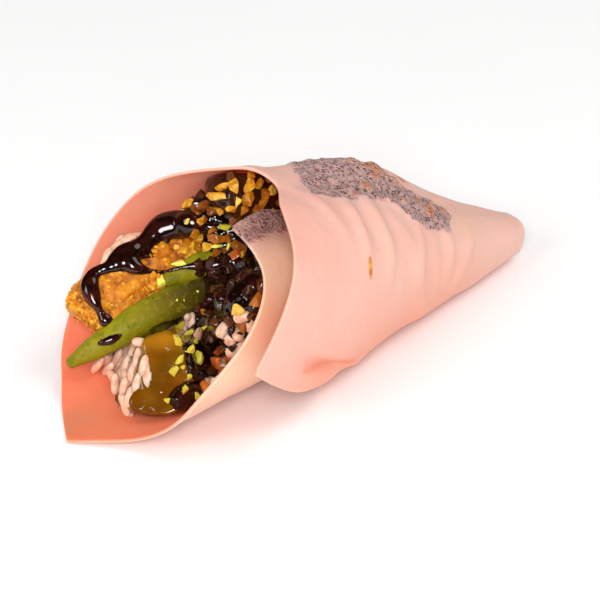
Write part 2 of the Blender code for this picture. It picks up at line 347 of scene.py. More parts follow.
class Bench:
    """Short ways to add and join a material's nodes."""

    def __init__(self, tree, shader):
        self.tree, self.shader = tree, shader
        self.place = tree.nodes.new("ShaderNodeTexCoord").outputs["Object"]

    def link(self, a, b):
        self.tree.links.new(a, b)

    def grain(self, size, detail=3.0, roughness=0.55, stretch=None):
        node = self.tree.nodes.new("ShaderNodeTexNoise")
        node.inputs["Scale"].default_value = 1.0 / (size * MM)
        node.inputs["Detail"].default_value = detail
        node.inputs["Roughness"].default_value = roughness
        source = self.place
        if stretch:
            mapping = self.tree.nodes.new("ShaderNodeMapping")
            mapping.inputs["Scale"].default_value = stretch
            self.link(source, mapping.inputs["Vector"])
            source = mapping.outputs["Vector"]
        self.link(source, node.inputs["Vector"])
        return node.outputs["Fac"]

    def cells(self, size, feature='F1'):
        node = self.tree.nodes.new("ShaderNodeTexVoronoi")
        node.feature = feature
        node.inputs["Scale"].default_value = 1.0 / (size * MM)
        self.link(self.place, node.inputs["Vector"])
        return node.outputs["Distance"]

    def value(self, name):
        node = self.tree.nodes.new("ShaderNodeAttribute")
        node.attribute_name = name
        return node.outputs["Fac"]

    def spread(self, source, low, high, to_low=0.0, to_high=1.0):
        node = self.tree.nodes.new("ShaderNodeMapRange")
        node.interpolation_type = 'SMOOTHSTEP'
        for key, value in zip(("From Min", "From Max", "To Min", "To Max"), (low, high, to_low, to_high)):
            node.inputs[key].default_value = value
        self.link(source, node.inputs["Value"])
        return node.outputs["Result"]

    def sum(self, a, b, operation='MULTIPLY'):
        node = self.tree.nodes.new("ShaderNodeMath")
        node.operation = operation
        for k, item in enumerate((a, b)):
            if isinstance(item, (int, float)):
                node.inputs[k].default_value = item
            else:
                self.link(item, node.inputs[k])
        return node.outputs["Value"]

    def mix(self, factor, a, b, blend='MIX'):
        node = self.tree.nodes.new("ShaderNodeMix")
        node.data_type = 'RGBA'
        node.blend_type = blend
        if isinstance(factor, (int, float)):
            node.inputs["Factor"].default_value = factor
        else:
            self.link(factor, node.inputs["Factor"])
        for key, item in (("A", a), ("B", b)):
            socket = [s for s in node.inputs if s.name == key and s.type == 'RGBA'][0]
            if isinstance(item, tuple):
                socket.default_value = (*item, 1)
            else:
                self.link(item, socket)
        return [s for s in node.outputs if s.type == 'RGBA'][0]

    def ramp(self, source, *stops):
        node = self.tree.nodes.new("ShaderNodeValToRGB")
        ramp = node.color_ramp
        while len(ramp.elements) < len(stops):
            ramp.elements.new(0.5)
        for element, (at, colour) in zip(ramp.elements, stops):
            element.position = at
            element.color = (*colour, 1)
        self.link(source, node.inputs["Fac"])
        return node.outputs["Color"]

    def spot(self, centre, sizes):
        """1 at the middle of an oval place in world metres, falling to 0 at its edge."""
        mapping = self.tree.nodes.new("ShaderNodeMapping")
        mapping.vector_type = 'POINT'
        mapping.inputs["Location"].default_value = [-c / s for c, s in zip(centre, sizes)]
        mapping.inputs["Scale"].default_value = [1 / s for s in sizes]
        self.link(self.place, mapping.inputs["Vector"])
        length = self.tree.nodes.new("ShaderNodeVectorMath")
        length.operation = 'LENGTH'
        self.link(mapping.outputs["Vector"], length.inputs[0])
        return self.spread(length.outputs["Value"], 0.65, 1.0, 1.0, 0.0)

    def colour(self, source):
        self.link(source, self.shader.inputs["Base Color"])

    def rough(self, source):
        self.link(source, self.shader.inputs["Roughness"])

    def bump(self, source, depth, strength=1.0):
        """Relief of this depth in mm; several add up."""
        node = self.tree.nodes.new("ShaderNodeBump")
        node.inputs["Strength"].default_value = strength
        node.inputs["Distance"].default_value = depth * MM
        self.link(source, node.inputs["Height"])
        old = self.shader.inputs["Normal"].links
        if old:
            self.link(old[0].from_socket, node.inputs["Normal"])
        self.link(node.outputs["Normal"], self.shader.inputs["Normal"])


def wrap_finish(s):
    mat, tree, shader = new_finish("soft wrap", s.colour, 0.50, Subsurface_Weight=0.6,
                                   Subsurface_Scale=0.003, Specular_IOR_Level=0.3)
    shader.inputs["Subsurface Radius"].default_value = (1.0, 0.42, 0.28)
    b = Bench(tree, shader)
    clouds = b.spread(b.grain(14, 2), 0.3, 0.7)
    fine = b.grain(0.9, 2)
    base = b.mix(clouds, tuple(s.colour), tuple(c * k for c, k in zip(s.colour, (0.99, 0.93, 0.92))))
    base = b.mix(b.sum(b.spread(fine, 0.35, 0.7), 0.10), base, (0.80, 0.36, 0.26))
    # painted shade: the outside of the wrap is painted darker orange low down near the table
    base = b.mix(b.value("low_shade"), base, tuple(s.low_shade_colour))
    # painted light: the outer faces of the inner ply are painted brighter and more orange, standing in for light
    # glowing through the sheet
    base = b.mix(b.value("inner_ply_glow"), base, b.mix(b.value("low_shade"), (1.0, 0.62, 0.44), (0.97, 0.43, 0.31)))
    # painted shade: faces of the sheet that look towards the axis are painted darker, more saturated orange, and darker
    # still near the table
    base = b.mix(b.value("inside"), base, b.mix(b.value("low_shade"), tuple(s.inside_shade_colour), tuple(s.inside_low_shade_colour)))
    amber = b.spread(b.value("amber"), 0.1, 0.9)
    base = b.mix(b.sum(amber, 0.4), base, (0.85, 0.50, 0.24))
    # painted shade: a darker orange line along the crease in the flap
    base = b.mix(b.sum(b.value("crease_shade"), 0.6), base, (0.80, 0.22, 0.11))
    # the damp patch: greyed, with dark specks that thin out at its edges
    damp = b.value("damp")
    mottle = b.grain(1.8, 3)
    ragged = b.sum(b.sum(b.grain(3.2, 4), 0.5, 'SUBTRACT'), 2.2)
    edge = b.sum(b.spread(b.sum(ragged, damp, 'ADD'), 0.05, 0.95), b.spread(damp, 0.02, 0.30))
    grey = b.mix(b.spread(mottle, 0.35, 0.65), tuple(s.damp_colour), tuple(c * 0.70 for c in s.damp_colour))
    base = b.mix(edge, base, grey)
    specks = b.spread(b.cells(0.72), 0.30, 0.50, 1.0, 0.0)
    patches = b.spread(b.grain(1.7, 2), 0.36, 0.50)
    base = b.mix(b.sum(b.sum(specks, patches), b.spread(edge, 0.35, 0.95)), base, tuple(s.speck_colour))
    # a greyer, darker pink halo round the damp patch, reaching some millimetres past its edge
    wet = b.sum(b.value("wet"), b.sum(1.0, edge, 'SUBTRACT'))
    base = b.mix(b.sum(wet, 0.55), base, (0.66, 0.42, 0.38))
    crumbs = b.grain(0.9, 3)
    brown = b.spread(b.sum(b.value("browned"), b.sum(b.sum(crumbs, 0.5, 'SUBTRACT'), 2.6), 'ADD'), 0.35, 0.9)
    base = b.mix(b.sum(brown, 0.95), base, b.ramp(crumbs, (0.35, (0.13, 0.025, 0.010)), (0.5, (0.50, 0.13, 0.035)), (0.65, (0.78, 0.38, 0.17))))
    # one narrow slit shows amber filling
    centre = place_round(90.6, around(247), wall_radius(247, 90.6) + 0.3)
    slit = b.spot(centre, (0.0010, 0.0015, 0.0038))
    base = b.mix(slit, base, b.mix(b.spread(b.grain(1.6), 0.4, 0.6), (0.90, 0.42, 0.045), (0.60, 0.17, 0.012)))
    b.colour(base)
    b.rough(b.spread(b.sum(edge, fine), 0.0, 0.8, 0.55, 0.36))
    b.bump(fine, 0.035)
    b.bump(b.grain(3.5, 3), 0.16)
    b.bump(b.sum(b.grain(1.1, 3), edge), 0.55)
    return mat


def rice_finish(s):
    mat, tree, shader = new_finish("cooked rice", s.colour, 0.34, Subsurface_Weight=0.7,
                                   Subsurface_Scale=0.003, Specular_IOR_Level=0.4)
    shader.inputs["Subsurface Radius"].default_value = (1.0, 0.75, 0.6)
    b = Bench(tree, shader)
    # partly painted light: both rice colours carry a pink tint of light reflected from the wrap
    base = b.mix(b.spread(b.grain(1.6, 2), 0.35, 0.65), tuple(s.colour), tuple(s.shade_colour))
    soak = b.value("soak")
    edge = b.spread(b.sum(soak, b.sum(b.grain(1.4, 2), 0.5, 'SUBTRACT'), 'ADD'), 0.15, 0.8)
    base = b.mix(edge, base, b.ramp(soak, (0.0, (0.74, 0.45, 0.27)), (0.6, (0.30, 0.10, 0.03)), (1.0, (0.06, 0.018, 0.008))))
    b.colour(base)
    b.bump(b.grain(0.7, 2), 0.05)
    return mat


def crust_finish(s):
    mat, tree, shader = new_finish("fried crumb", s.colour, 0.5, Subsurface_Weight=0.08,
                                   Subsurface_Scale=0.0012, Specular_IOR_Level=0.22)
    shader.inputs["Subsurface Radius"].default_value = (1.0, 0.5, 0.15)
    b = Bench(tree, shader)
    # painted shade: low shade values, the hollows of the crust, take the darkest colour
    shade = b.sum(b.value("shade"), b.sum(b.sum(b.grain(1.5, 3), 0.5, 'SUBTRACT'), 0.9), 'ADD')
    base = b.ramp(shade, (0.05, tuple(s.dark_colour)), (0.38, tuple(s.colour)), (0.68, tuple(s.light_colour)), (0.95, (0.90, 0.47, 0.04)))
    b.colour(base)
    b.rough(b.spread(b.grain(1.0), 0.3, 0.7, 0.22, 0.48))
    b.bump(b.grain(0.9, 3), 0.30)
    b.bump(b.grain(0.35, 2), 0.10)
    return mat


def avocado_finish(s):
    mat, tree, shader = new_finish("avocado flesh", s.colour, 0.42, Subsurface_Weight=0.10,
                                   Subsurface_Scale=0.0012, Specular_IOR_Level=0.14)
    shader.inputs["Subsurface Radius"].default_value = (0.7, 1.0, 0.2)
    b = Bench(tree, shader)
    along = b.value("along")
    # painted shade and sauce: the slice is painted darkest at its inner end, deep in the roll, where it also lies under
    # sauce
    base = b.ramp(along, (0.50, tuple(s.sauce_and_shade_colour)), (0.55, (0.060, 0.042, 0.002)), (0.61, (0.12, 0.090, 0.003)),
                  (0.67, tuple(s.colour)), (0.75, tuple(s.bright_colour)), (0.84, (0.27, 0.225, 0.007)), (1.0, (0.20, 0.16, 0.004)))
    base = b.mix(b.sum(b.spread(b.grain(2.2, 3, stretch=(0.4, 1, 1)), 0.40, 0.7), b.spread(along, 0.55, 0.8, 0.0, 0.45)), base, tuple(s.bright_colour))
    base = b.mix(b.sum(b.spread(b.grain(3.4, 4, 0.6), 0.47, 0.64), b.spread(along, 0.58, 0.8, 0.0, 0.65)), base, (0.085, 0.105, 0.002))
    base = b.mix(b.sum(b.spread(b.grain(1.2, 3), 0.52, 0.72), 0.5), base, (0.34, 0.25, 0.012))
    base = b.mix(b.sum(b.value("rim"), 0.35), base, (0.26, 0.28, 0.012))
    dots = b.spread(b.cells(2.3), 0.10, 0.15, 1.0, 0.0)
    base = b.mix(b.sum(b.sum(dots, b.spread(b.grain(5), 0.45, 0.55)), 0.8), base, (0.05, 0.05, 0.005))
    b.colour(base)
    b.bump(b.grain(1.3, 3), 0.12)
    b.bump(b.grain(0.4, 2), 0.03)
    return mat


def dark_sauce_finish(s):
    mat, tree, shader = new_finish("dark sauce", s.dark_colour, 0.09, Specular_IOR_Level=0.5)
    b = Bench(tree, shader)
    thin = b.sum(b.value("thin"), b.sum(b.sum(b.grain(2.5, 2), 0.5, 'SUBTRACT'), 0.5), 'ADD')
    b.colour(b.ramp(thin, (0.15, tuple(s.dark_colour)), (0.55, tuple(s.thin_colour)), (0.95, (0.19, 0.022, 0.008))))
    b.bump(b.grain(3.4, 1), 0.08)
    return mat


def amber_finish(s):
    mat, tree, shader = new_finish("amber sauce", s.amber_colour, 0.08, Subsurface_Weight=0.15,
                                   Subsurface_Scale=0.003, Specular_IOR_Level=0.5)
    shader.inputs["Subsurface Radius"].default_value = (1.0, 0.55, 0.08)
    b = Bench(tree, shader)
    base = b.mix(b.spread(b.grain(5, 3), 0.35, 0.65), tuple(s.amber_colour), tuple(s.olive_colour))
    base = b.mix(b.sum(b.value("thin"), 0.8), base, (0.44, 0.175, 0.006))
    b.colour(base)
    b.bump(b.grain(3.0, 2), 0.18)
    b.bump(b.spread(b.cells(3.6), 0.10, 0.22, 1.0, 0.0), 0.16)
    return mat


def nut_finish(s):
    mat, tree, shader = new_finish("chopped nuts", s.nut_colour, 0.20, Subsurface_Weight=0.2,
                                   Subsurface_Scale=0.0012, Specular_IOR_Level=0.45)
    shader.inputs["Subsurface Radius"].default_value = (1.0, 0.55, 0.12)
    b = Bench(tree, shader)
    shade = b.sum(b.value("shade"), b.sum(b.sum(b.grain(1.5, 3), 1.5), 0.25, 'ADD'))
    b.colour(b.ramp(shade, (0.0, (0.010, 0.003, 0.0015)), (0.14, (0.05, 0.012, 0.003)), (0.30, (0.20, 0.05, 0.006)), (0.5, tuple(s.nut_colour)), (0.75, (0.74, 0.36, 0.02)), (1.0, (0.90, 0.62, 0.12))))
    b.bump(b.grain(0.8, 2), 0.06)
    return mat


def pistachio_finish(s):
    mat, tree, shader = new_finish("pistachio", s.pistachio_colour, 0.28, Subsurface_Weight=0.3,
                                   Subsurface_Scale=0.0012, Specular_IOR_Level=0.4)
    shader.inputs["Subsurface Radius"].default_value = (0.9, 1.0, 0.15)
    b = Bench(tree, shader)
    shade = b.sum(b.value("shade"), b.sum(b.sum(b.grain(1.2, 2), 0.5, 'SUBTRACT'), 0.5), 'ADD')
    b.colour(b.ramp(shade, (0.0, (0.36, 0.22, 0.015)), (0.5, tuple(s.pistachio_colour)), (1.0, (0.86, 0.80, 0.12))))
    b.bump(b.grain(0.7, 2), 0.05)
    return mat


def cube_finish(s):
    mat, tree, shader = new_finish("orange cubes", s.cube_colour, 0.16, Subsurface_Weight=0.4,
                                   Subsurface_Scale=0.002, Specular_IOR_Level=0.5)
    b = Bench(tree, shader)
    shade = b.sum(b.value("shade"), b.sum(b.sum(b.grain(1.8, 2), 0.5, 'SUBTRACT'), 0.5), 'ADD')
    b.colour(b.ramp(shade, (0.0, (0.10, 0.02, 0.006)), (0.4, (0.36, 0.07, 0.012)), (0.8, tuple(s.cube_colour))))
    return mat


# ---------------------------------------------------------------- the wrap
# where the damp patch starts and ends round the roll, by distance from the apex
DAMP_FROM = ((47, 214), (49, 205), (53.7, 199.6), (58, 193.8), (63, 189), (66, 176), (69, 162),
             (76, 150), (84, 152), (88.6, 167), (93.2, 182), (95.4, 195), (97, 200))
DAMP_TO = ((47, 216), (49.7, 227), (54.8, 235), (61.1, 232.5), (66.9, 224.6), (69.6, 217),
           (72.8, 209.5), (79.9, 208), (87.5, 209), (94.4, 203), (95.8, 197), (97, 196))
# soft folds in the outer ply: from (turn, a) to (turn, a), height and half width in mm
FOLDS = (((208, 88), (242, 91), 1.3, 2.0), ((207, 80), (256, 82), 1.4, 2.2), ((212, 84), (236, 86), -0.8, 1.8),
         ((225, 74), (294, 62), 1.0, 2.8), ((222, 66), (266, 69), 0.9, 2.0), ((236, 61), (280, 58), 0.7, 1.8),
         ((222, 54), (270, 54), 1.1, 2.0), ((238, 44), (284, 49), 0.9, 2.0), ((282, 112), (297, 95), -1.9, 1.9),
         ((289, 114), (303, 97), 1.3, 2.4), ((276, 108), (292, 92), 0.8, 2.6), ((300, 90), (312, 80), 0.9, 2.6),
         ((166, 104), (206, 112), 0.5, 3.0), ((140, 96), (186, 104), 0.6, 3.5), ((196, 99), (226, 97), 0.8, 2.4))
# browned bits of filling that show through the damp patch: turn, a, size
BROWNED = ((176, 66, 1.6), (184, 67.5, 1.5), (188, 70, 1.3), (172, 71, 1.4), (203, 53, 1.3), (212, 51, 1.5), (208, 66, 1.0),
           (179, 69, 1.7), (180, 64, 2.0), (181, 57.7, 2.3), (190, 62.8, 1.5),
           (197, 75.8, 1.5), (203, 82.5, 1.0), (216, 57, 2.0), (208, 60.5, 1.4))


def on_segment(turn, a, r, start, end):
    """Distance in mm to a line on the sheet, and how far along it the nearest point is."""
    k = math.pi / 180 * r
    ax, ay = (turn - start[0]) * k, a - start[1]
    bx, by = (end[0] - start[0]) * k, end[1] - start[1]
    t = min(1.0, max(0.0, (ax * bx + ay * by) / (bx * bx + by * by + 1e-9)))
    return math.hypot(ax - bx * t, ay - by * t), t


def damp_depth(turn, a, r):
    """How far inside the damp patch a place on the sheet is, in mm; negative outside it."""
    k = math.pi / 180 * r
    outer = min(a - 47, 97 - a, (hermite(DAMP_TO, a) - turn) * k, (turn - hermite(DAMP_FROM, a)) * k)
    corner = min((-147 - (109 - a) * 1.1 - turn) * k, a - 80)
    return outer if turn > 120 else corner


def sheet_lift(turn, a, r):
    """Waves, folds and lumps of the sheet, outwards in mm."""
    w = math.radians(around(turn))
    out = noise.noise(Vector((math.cos(w) * 20, math.sin(w) * 20, a)) / 15) * 0.55
    out += noise.noise(Vector((math.cos(w) * 22, math.sin(w) * 22, a + 90)) / 6) * 0.16
    edge = reach(turn) - a
    if edge < 16:
        out += (1 - edge / 16) ** 2 * 0.5 * math.sin(math.radians(turn) * 6.5)
    if turn > 130:
        for start, end, height, width in FOLDS:
            distance, t = on_segment(turn, a, r, start, end)
            if distance < width * 3:
                out += height * math.exp(-(distance / width) ** 2) * (0.35 + 0.65 * math.sin(math.pi * (0.1 + 0.8 * t)))
        inside = smoothstep((damp_depth(turn, a, r) + 1.5) / 3)
        if inside > 0:
            spot = Vector((math.cos(w) * r, math.sin(w) * r, a))
            near = noise.voronoi(spot / 4.2)[0]
            out += inside * (0.75 * (near[1] - near[0]) + 0.42 * noise.noise(spot / 1.7) + 0.3 * noise.noise(spot / 3.1))
            for t0, a0, size in BROWNED:
                d = math.hypot((turn - t0) * math.pi / 180 * r, a - a0)
                out += 0.9 * math.exp(-(d / size) ** 2)
    return out * smoothstep((a - 19) / 12)


class WrapSettings(bpy.types.PropertyGroup):
    thickness: FloatProperty(name="Thickness", description="Thickness of the sheet", default=0.0007, unit='LENGTH')
    columns: IntProperty(name="Columns", description="Faces round the rolled sheet", default=340)
    rows: IntProperty(name="Rows", description="Faces from the tip to the mouth", default=112)
    colour: FloatVectorProperty(name="Colour", description="Outside of the wrap", subtype='COLOR', default=(0.955, 0.485, 0.40))
    # painted shade: the outside colour used low down near the table
    low_shade_colour: FloatVectorProperty(name="Low colour", description="Outside of the wrap near the table", subtype='COLOR', default=(0.950, 0.355, 0.235))
    # painted shade: the inside colours, darker and more saturated than the outside of the same sheet
    inside_shade_colour: FloatVectorProperty(name="Inside colour", description="Inside of the wrap", subtype='COLOR', default=(0.90, 0.35, 0.235))
    inside_low_shade_colour: FloatVectorProperty(name="Inside low colour", description="Inside of the wrap near the table", subtype='COLOR', default=(0.92, 0.205, 0.100))
    damp_colour: FloatVectorProperty(name="Damp colour", description="Damp patch of the wrap", subtype='COLOR', default=(0.58, 0.36, 0.335))
    speck_colour: FloatVectorProperty(name="Speck colour", description="Specks in the damp patch", subtype='COLOR', default=(0.055, 0.028, 0.026))


class TEMAKI_OT_wrap(bpy.types.Operator):
    """Rolls the sheet of soft wrap into its cone and closes the tip"""
    bl_idname = "temaki.wrap"
    bl_label = "Wrap"

    def execute(self, context):
        s = context.scene.temaki_wrap
        turns, starts = [], []

        def position(u, v):
            turn = TURN_FIRST + (TURN_LAST - TURN_FIRST) * u
            a = sheet_start(turn) + (reach(turn) - sheet_start(turn)) * v ** 1.06
            r = wall_radius(turn, max(a, 18.6))
            turns.append((turn, a, r))
            if a < 18.6 and turn > 96:
                r *= math.sqrt(max(0.0, 1 - ((18.6 - a) / (18.6 - TIP_END)) ** 2))
            return place_round(a, around(turn), r + sheet_lift(turn, a, r))

        sheet = shaped_grid("wrap_sheet", s.columns, s.rows, position)
        damp, browned, amber, wet, crease_shade = [], [], [], [], []
        for turn, a, r in turns:
            damp.append(smoothstep((damp_depth(turn, a, r) + 1.8) / 4.6))
            browned.append(max(math.exp(-(math.hypot((turn - t) * math.pi / 180 * r, a - at) / size) ** 2)
                               for t, at, size in BROWNED) if turn > 130 else 0.0)
            stain = math.exp(-((turn - 226) / 14) ** 2 - ((a - 44) / 5) ** 2) if turn > 130 else 0.0
            amber.append(stain * 0.5)
            # painted shade mask: a narrow line along the flap's crease with a wider soft fringe
            off = on_segment(turn, a, r, (286, 113), (298, 90))[0]
            crease_shade.append(math.exp(-(off / 0.6) ** 2) + 0.3 * math.exp(-(off / 2.4) ** 2) if turn > 130 else 0.0)
            wet.append(smoothstep((damp_depth(turn, a, r) + 5.5) / 6) if turn < 130 or a > 76 else 0.0)
        put_attribute(sheet, "damp", damp)
        put_attribute(sheet, "browned", browned)
        put_attribute(sheet, "amber", amber)
        put_attribute(sheet, "wet", wet)
        put_attribute(sheet, "crease_shade", crease_shade)
        # painted light mask: the inner ply, which is painted brighter
        put_attribute(sheet, "inner_ply_glow", [smoothstep((10 - turn) / 20) for turn, a, r in turns])
        pick(sheet)
        bpy.ops.object.mode_set(mode='EDIT')
        bpy.ops.mesh.select_all(action='SELECT')
        bpy.ops.mesh.remove_doubles(threshold=1e-6)
        bpy.ops.object.mode_set(mode='OBJECT')
        solid = sheet.modifiers.new("thickness", 'SOLIDIFY')
        solid.thickness = s.thickness
        solid.offset = 0
        apply_modifiers(sheet)
        close_and_face_out(sheet, 1e-7)

        wrap = sheet
        for vert in wrap.data.vertices:
            vert.co.z = max(vert.co.z, 0.0)
        wrap.data.update()
        inside, low_shade = [], []
        for vert in wrap.data.vertices:
            q = vert.co / MM - APEX
            # painted shade mask: strongest near the table, towards the mouth
            low_shade.append(smoothstep((26 - vert.co.z / MM) / 28) * smoothstep((q.dot(AXIS) - 24) / 40))
            # painted shade mask: 1 on the faces of the sheet that look towards the axis
            outward = q - AXIS * q.dot(AXIS)
            inside.append(smoothstep(0.5 - 2 * vert.normal.dot(outward.normalized())))
        put_attribute(wrap, "inside", inside)
        put_attribute(wrap, "low_shade", low_shade)
        settle(wrap, wrap_finish(s), "soft_wrap", "wrap", angle=60)
        return {'FINISHED'}


# -------------------------------------------------------------- the filling
BREADED_STRIP = (((47, 3, 4), 4.2, 3.2), ((68, 7, 6.5), 5.6, 4.2),
                 ((82, 11.5, 8), 6.4, 4.8), ((96, 15.5, 7.5), 7.0, 5.2),
                 ((110, 18.5, 3.0), 7.6, 5.4), ((122, 20.3, -4.0), 8.0, 5.3),
                 ((132.0, 21.2, -10.3), 7.8, 4.7), ((135.0, 21.0, -13.4), 5.4, 4.0))
AVOCADO_FRONT = (((50, -2, 0), 3.0, 2.6), ((70, 1, 1), 3.8, 3.0),
                 ((90, 6, 0.5), 4.2, 3.3), ((108, 9, -3.7), 4.3, 3.4),
                 ((124, 11.5, -9.5), 4.0, 3.2), ((135, 14.5, -16.3), 3.0, 2.5),
                 ((142, 17.3, -21.5), 1.2, 1.0))
AVOCADO_BACK = (((56, 0, 4), 2.4, 2.2), ((78, 4, 6), 3.2, 2.6),
                ((96, 7.5, 5), 3.6, 2.8), ((109, 10.3, 2), 3.2, 2.4),
                ((119, 12.7, -2), 1.6, 1.3))
RICE_EDGE = ((-180, 134), (-150, 128), (-120, 120), (-90, 112), (-60, 104),
             (-30, 94), (0, 90), (30, 92), (60, 108), (90, 119), (120, 127),
             (150, 134), (180, 134))
RICE_MIDDLE = 106.0
POOL = dict(a=126.5, y=-3.5, h=-19.0, lengths=(10.5, 10.0, 9.0), turn=(0, 0))
DARK = dict(a=109.5, y=-10.0, h=-5.5, lengths=(12.0, 10.5, 19.5), turn=(22, 22))
NUTS = dict(a=97.0, y=8.0, h=19.5, lengths=(13.4, 12.4, 6.4), turn=(0, 0))


def bar_frames(stations, rows):
    """Middle, wide and thin directions and half sizes along a bar, one per row."""
    middles = [place(*s[0]) for s in stations]
    last = len(stations) - 1

    def at(u):
        return Vector([hermite([(i, m[c]) for i, m in enumerate(middles)], u) for c in range(3)])

    out = []
    for j in range(rows + 1):
        u = j / rows * last
        along = (at(min(u + 0.1, last)) - at(max(u - 0.1, 0))).normalized()
        thin = (OPEN_SIDE - along * OPEN_SIDE.dot(along)).normalized()
        out.append((at(u), along, along.cross(thin), thin,
                    hermite([(i, s[1]) for i, s in enumerate(stations)], u),
                    hermite([(i, s[2]) for i, s in enumerate(stations)], u)))
    return out


def bar(name, stations, cols, rows, square=0.0, relief=None, blunt=0.03, shrink=0.0):
    """A bar through stations, rounded at both ends, with relief(spot) mm of bumps."""
    frames = bar_frames(stations, rows)

    def position(u, v):
        middle, along, wide, thin, width, thick = frames[min(rows, round(v * rows))]
        end = min(v, 1 - v) / blunt
        scale = math.sqrt(1 - (1 - end) ** 2) if end < 1 else 1.0
        w = 2 * math.pi * u
        c, s = math.cos(w), math.sin(w)
        power = 1 - 0.55 * square
        direction = (wide * math.copysign(abs(c) ** power, c) * (width - shrink)
                     + thin * math.copysign(abs(s) ** power, s) * (thick - shrink)) * MM
        spot = middle + direction * scale
        if relief and scale > 0.05:
            spot += direction.normalized() * relief(spot) * MM * scale
        return spot

    piece = shaped_grid(name, cols, rows, position)
    close_and_face_out(piece, 1e-6)
    return piece


def blob(name, a, y, h, lengths, turn, cols=72, rows=48, relief=None, shrink=0.0):
    """A lumpy oval kept inside the hollow of the roll."""
    def position(u, v):
        phi, theta = math.pi * v, 2 * math.pi * u
        p = Vector((math.cos(phi), math.sin(phi) * math.cos(theta), math.sin(phi) * math.sin(theta)))
        q = Vector([c * (l - shrink) for c, l in zip(p, lengths)])
        x, z = math.radians(turn[0]), math.radians(turn[1])
        q = Vector((q.x, math.cos(x) * q.y - math.sin(x) * q.z, math.sin(x) * q.y + math.cos(x) * q.z))
        q = Vector((math.cos(z) * q.x + math.sin(z) * q.z, q.y, math.cos(z) * q.z - math.sin(z) * q.x))
        spot = place(a + q.x, y + q.y, h + q.z)
        if relief:
            spot += (spot - place(a, y, h)).normalized() * relief(spot) * MM
        at, angle, r = in_roll(spot)
        return place_round(at, angle, min(r, room(angle, at) - 0.25))

    piece = shaped_grid(name, cols, rows, position)
    close_and_face_out(piece, 1e-6)
    return piece


def poured(name, beads, voxel=0.00035, smooth=14):
    """One body of sauce from round beads: (spot, facing, radius in mm, flatness)."""
    deselect()
    bpy.ops.mesh.primitive_ico_sphere_add(subdivisions=3, radius=1.0)
    ball = bpy.context.object
    copies = [copy_of(ball, lying(facing, 0, r * MM, r * MM, r * flat * MM, spot))
              for spot, facing, r, flat in beads]
    drop([ball])
    piece = join(name, copies)
    remesh = piece.modifiers.new("one body", 'REMESH')
    remesh.mode = 'VOXEL'
    remesh.voxel_size = voxel
    ease = piece.modifiers.new("ease", 'SMOOTH')
    ease.factor = 0.5
    ease.iterations = smooth
    apply_modifiers(piece)
    return piece


def coat(name, trees, ovals, thickness, ease, skin=1.5, step=0.42, floor=-12.0, ragged=0.16, plane=None):
    """Sauce that lies over what is below it on the open face, inside the ovals:
    (across, rise, half width, half height, turn in degrees). With a plane
    (depth, slope across, slope up) its middle is level with that."""
    west = min(o[0] - max(o[2], o[3]) for o in ovals) - 1
    east = max(o[0] + max(o[2], o[3]) for o in ovals) + 1
    low = min(o[1] - max(o[2], o[3]) for o in ovals) - 1
    high = max(o[1] + max(o[2], o[3]) for o in ovals) + 1
    cols, rows = int((east - west) / step), int((high - low) / step)
    depth = np.full((cols + 1, rows + 1), np.nan)
    cover = np.zeros((cols + 1, rows + 1))
    for i in range(cols + 1):
        for j in range(rows + 1):
            x, y = west + (east - west) * i / cols, low + (high - low) * j / rows
            spot, _ = on_face(x, y, trees)
            if spot is not None:
                depth[i, j] = max(floor, (spot / MM - FACE_MIDDLE).dot(OPEN_SIDE))
            best = -1.0
            for ox, oy, w, h, degrees in ovals:
                t = math.radians(degrees)
                dx, dy = (x - ox) * math.cos(t) + (y - oy) * math.sin(t), (y - oy) * math.cos(t) - (x - ox) * math.sin(t)
                best = max(best, 1 - math.hypot(dx / w, dy / h))
            cover[i, j] = best + ragged * noise.noise(Vector((x / 2.6, y / 2.6, 3.0)))
    for _ in range(120):
        wide = np.pad(depth, 1, constant_values=np.nan)
        near = np.stack([wide[:-2, 1:-1], wide[2:, 1:-1], wide[1:-1, :-2], wide[1:-1, 2:]])
        known = (~np.isnan(near)).sum(axis=0)
        fill = np.isnan(depth) & (known > 0)
        depth[fill] = (np.nansum(near, axis=0) / np.maximum(known, 1))[fill]
    depth = np.where(np.isnan(depth), floor, depth)
    eased = depth.copy()
    for k in range(ease + 6):
        if k == ease:
            eased = np.maximum(eased, depth)
        wide = np.pad(eased, 1, mode='edge')
        eased = (wide[:-2, 1:-1] + wide[2:, 1:-1] + wide[1:-1, :-2] + wide[1:-1, 2:] + 4 * wide[1:-1, 1:-1]) / 8
    if plane:
        across = np.linspace(west, east, cols + 1)[:, None]
        rise = np.linspace(low, high, rows + 1)[None, :]
        part = np.clip((cover - 0.04) * 3.4, 0, 1)
        part = part * part * (3 - 2 * part)
        eased = eased * (1 - part) + (plane[0] + plane[1] * across + plane[2] * rise) * part
    lip = np.sqrt(np.clip(cover * 3.2, 0, 1))
    level = eased + thickness * lip - 1.3 * np.clip(-cover * 6, 0, 1)
    outside = []

    def position(u, v):
        i, j = round(u * cols), round(v * rows)
        outside.append(cover[i, j] < -0.12)
        spot = (FACE_MIDDLE + ACROSS * (west + (east - west) * u) + RISE * (low + (high - low) * v)
                + OPEN_SIDE * float(level[i, j])) * MM
        a, angle, r = in_roll(spot)
        turn = (START_ANGLE - angle - TURN_FIRST) % 360 + TURN_FIRST
        return place_round(a, angle, min(r, room(angle, a) - 0.2)) if a < reach(turn) + 4 else spot

    piece = shaped_grid(name, cols, rows, position)
    pick(piece)
    bpy.ops.object.mode_set(mode='EDIT')
    bpy.ops.mesh.select_all(action='DESELECT')
    bpy.ops.object.mode_set(mode='OBJECT')
    for vert, gone in zip(piece.data.vertices, outside):
        vert.select = gone
    bpy.ops.object.mode_set(mode='EDIT')
    bpy.ops.mesh.delete(type='VERT')
    bpy.ops.object.mode_set(mode='OBJECT')
    solid = piece.modifiers.new("skin", 'SOLIDIFY')
    solid.thickness = skin * MM
    solid.offset = -1
    apply_modifiers(piece)
    for vert in piece.data.vertices:
        vert.co.z = max(vert.co.z, 1.1 * MM)
    return piece


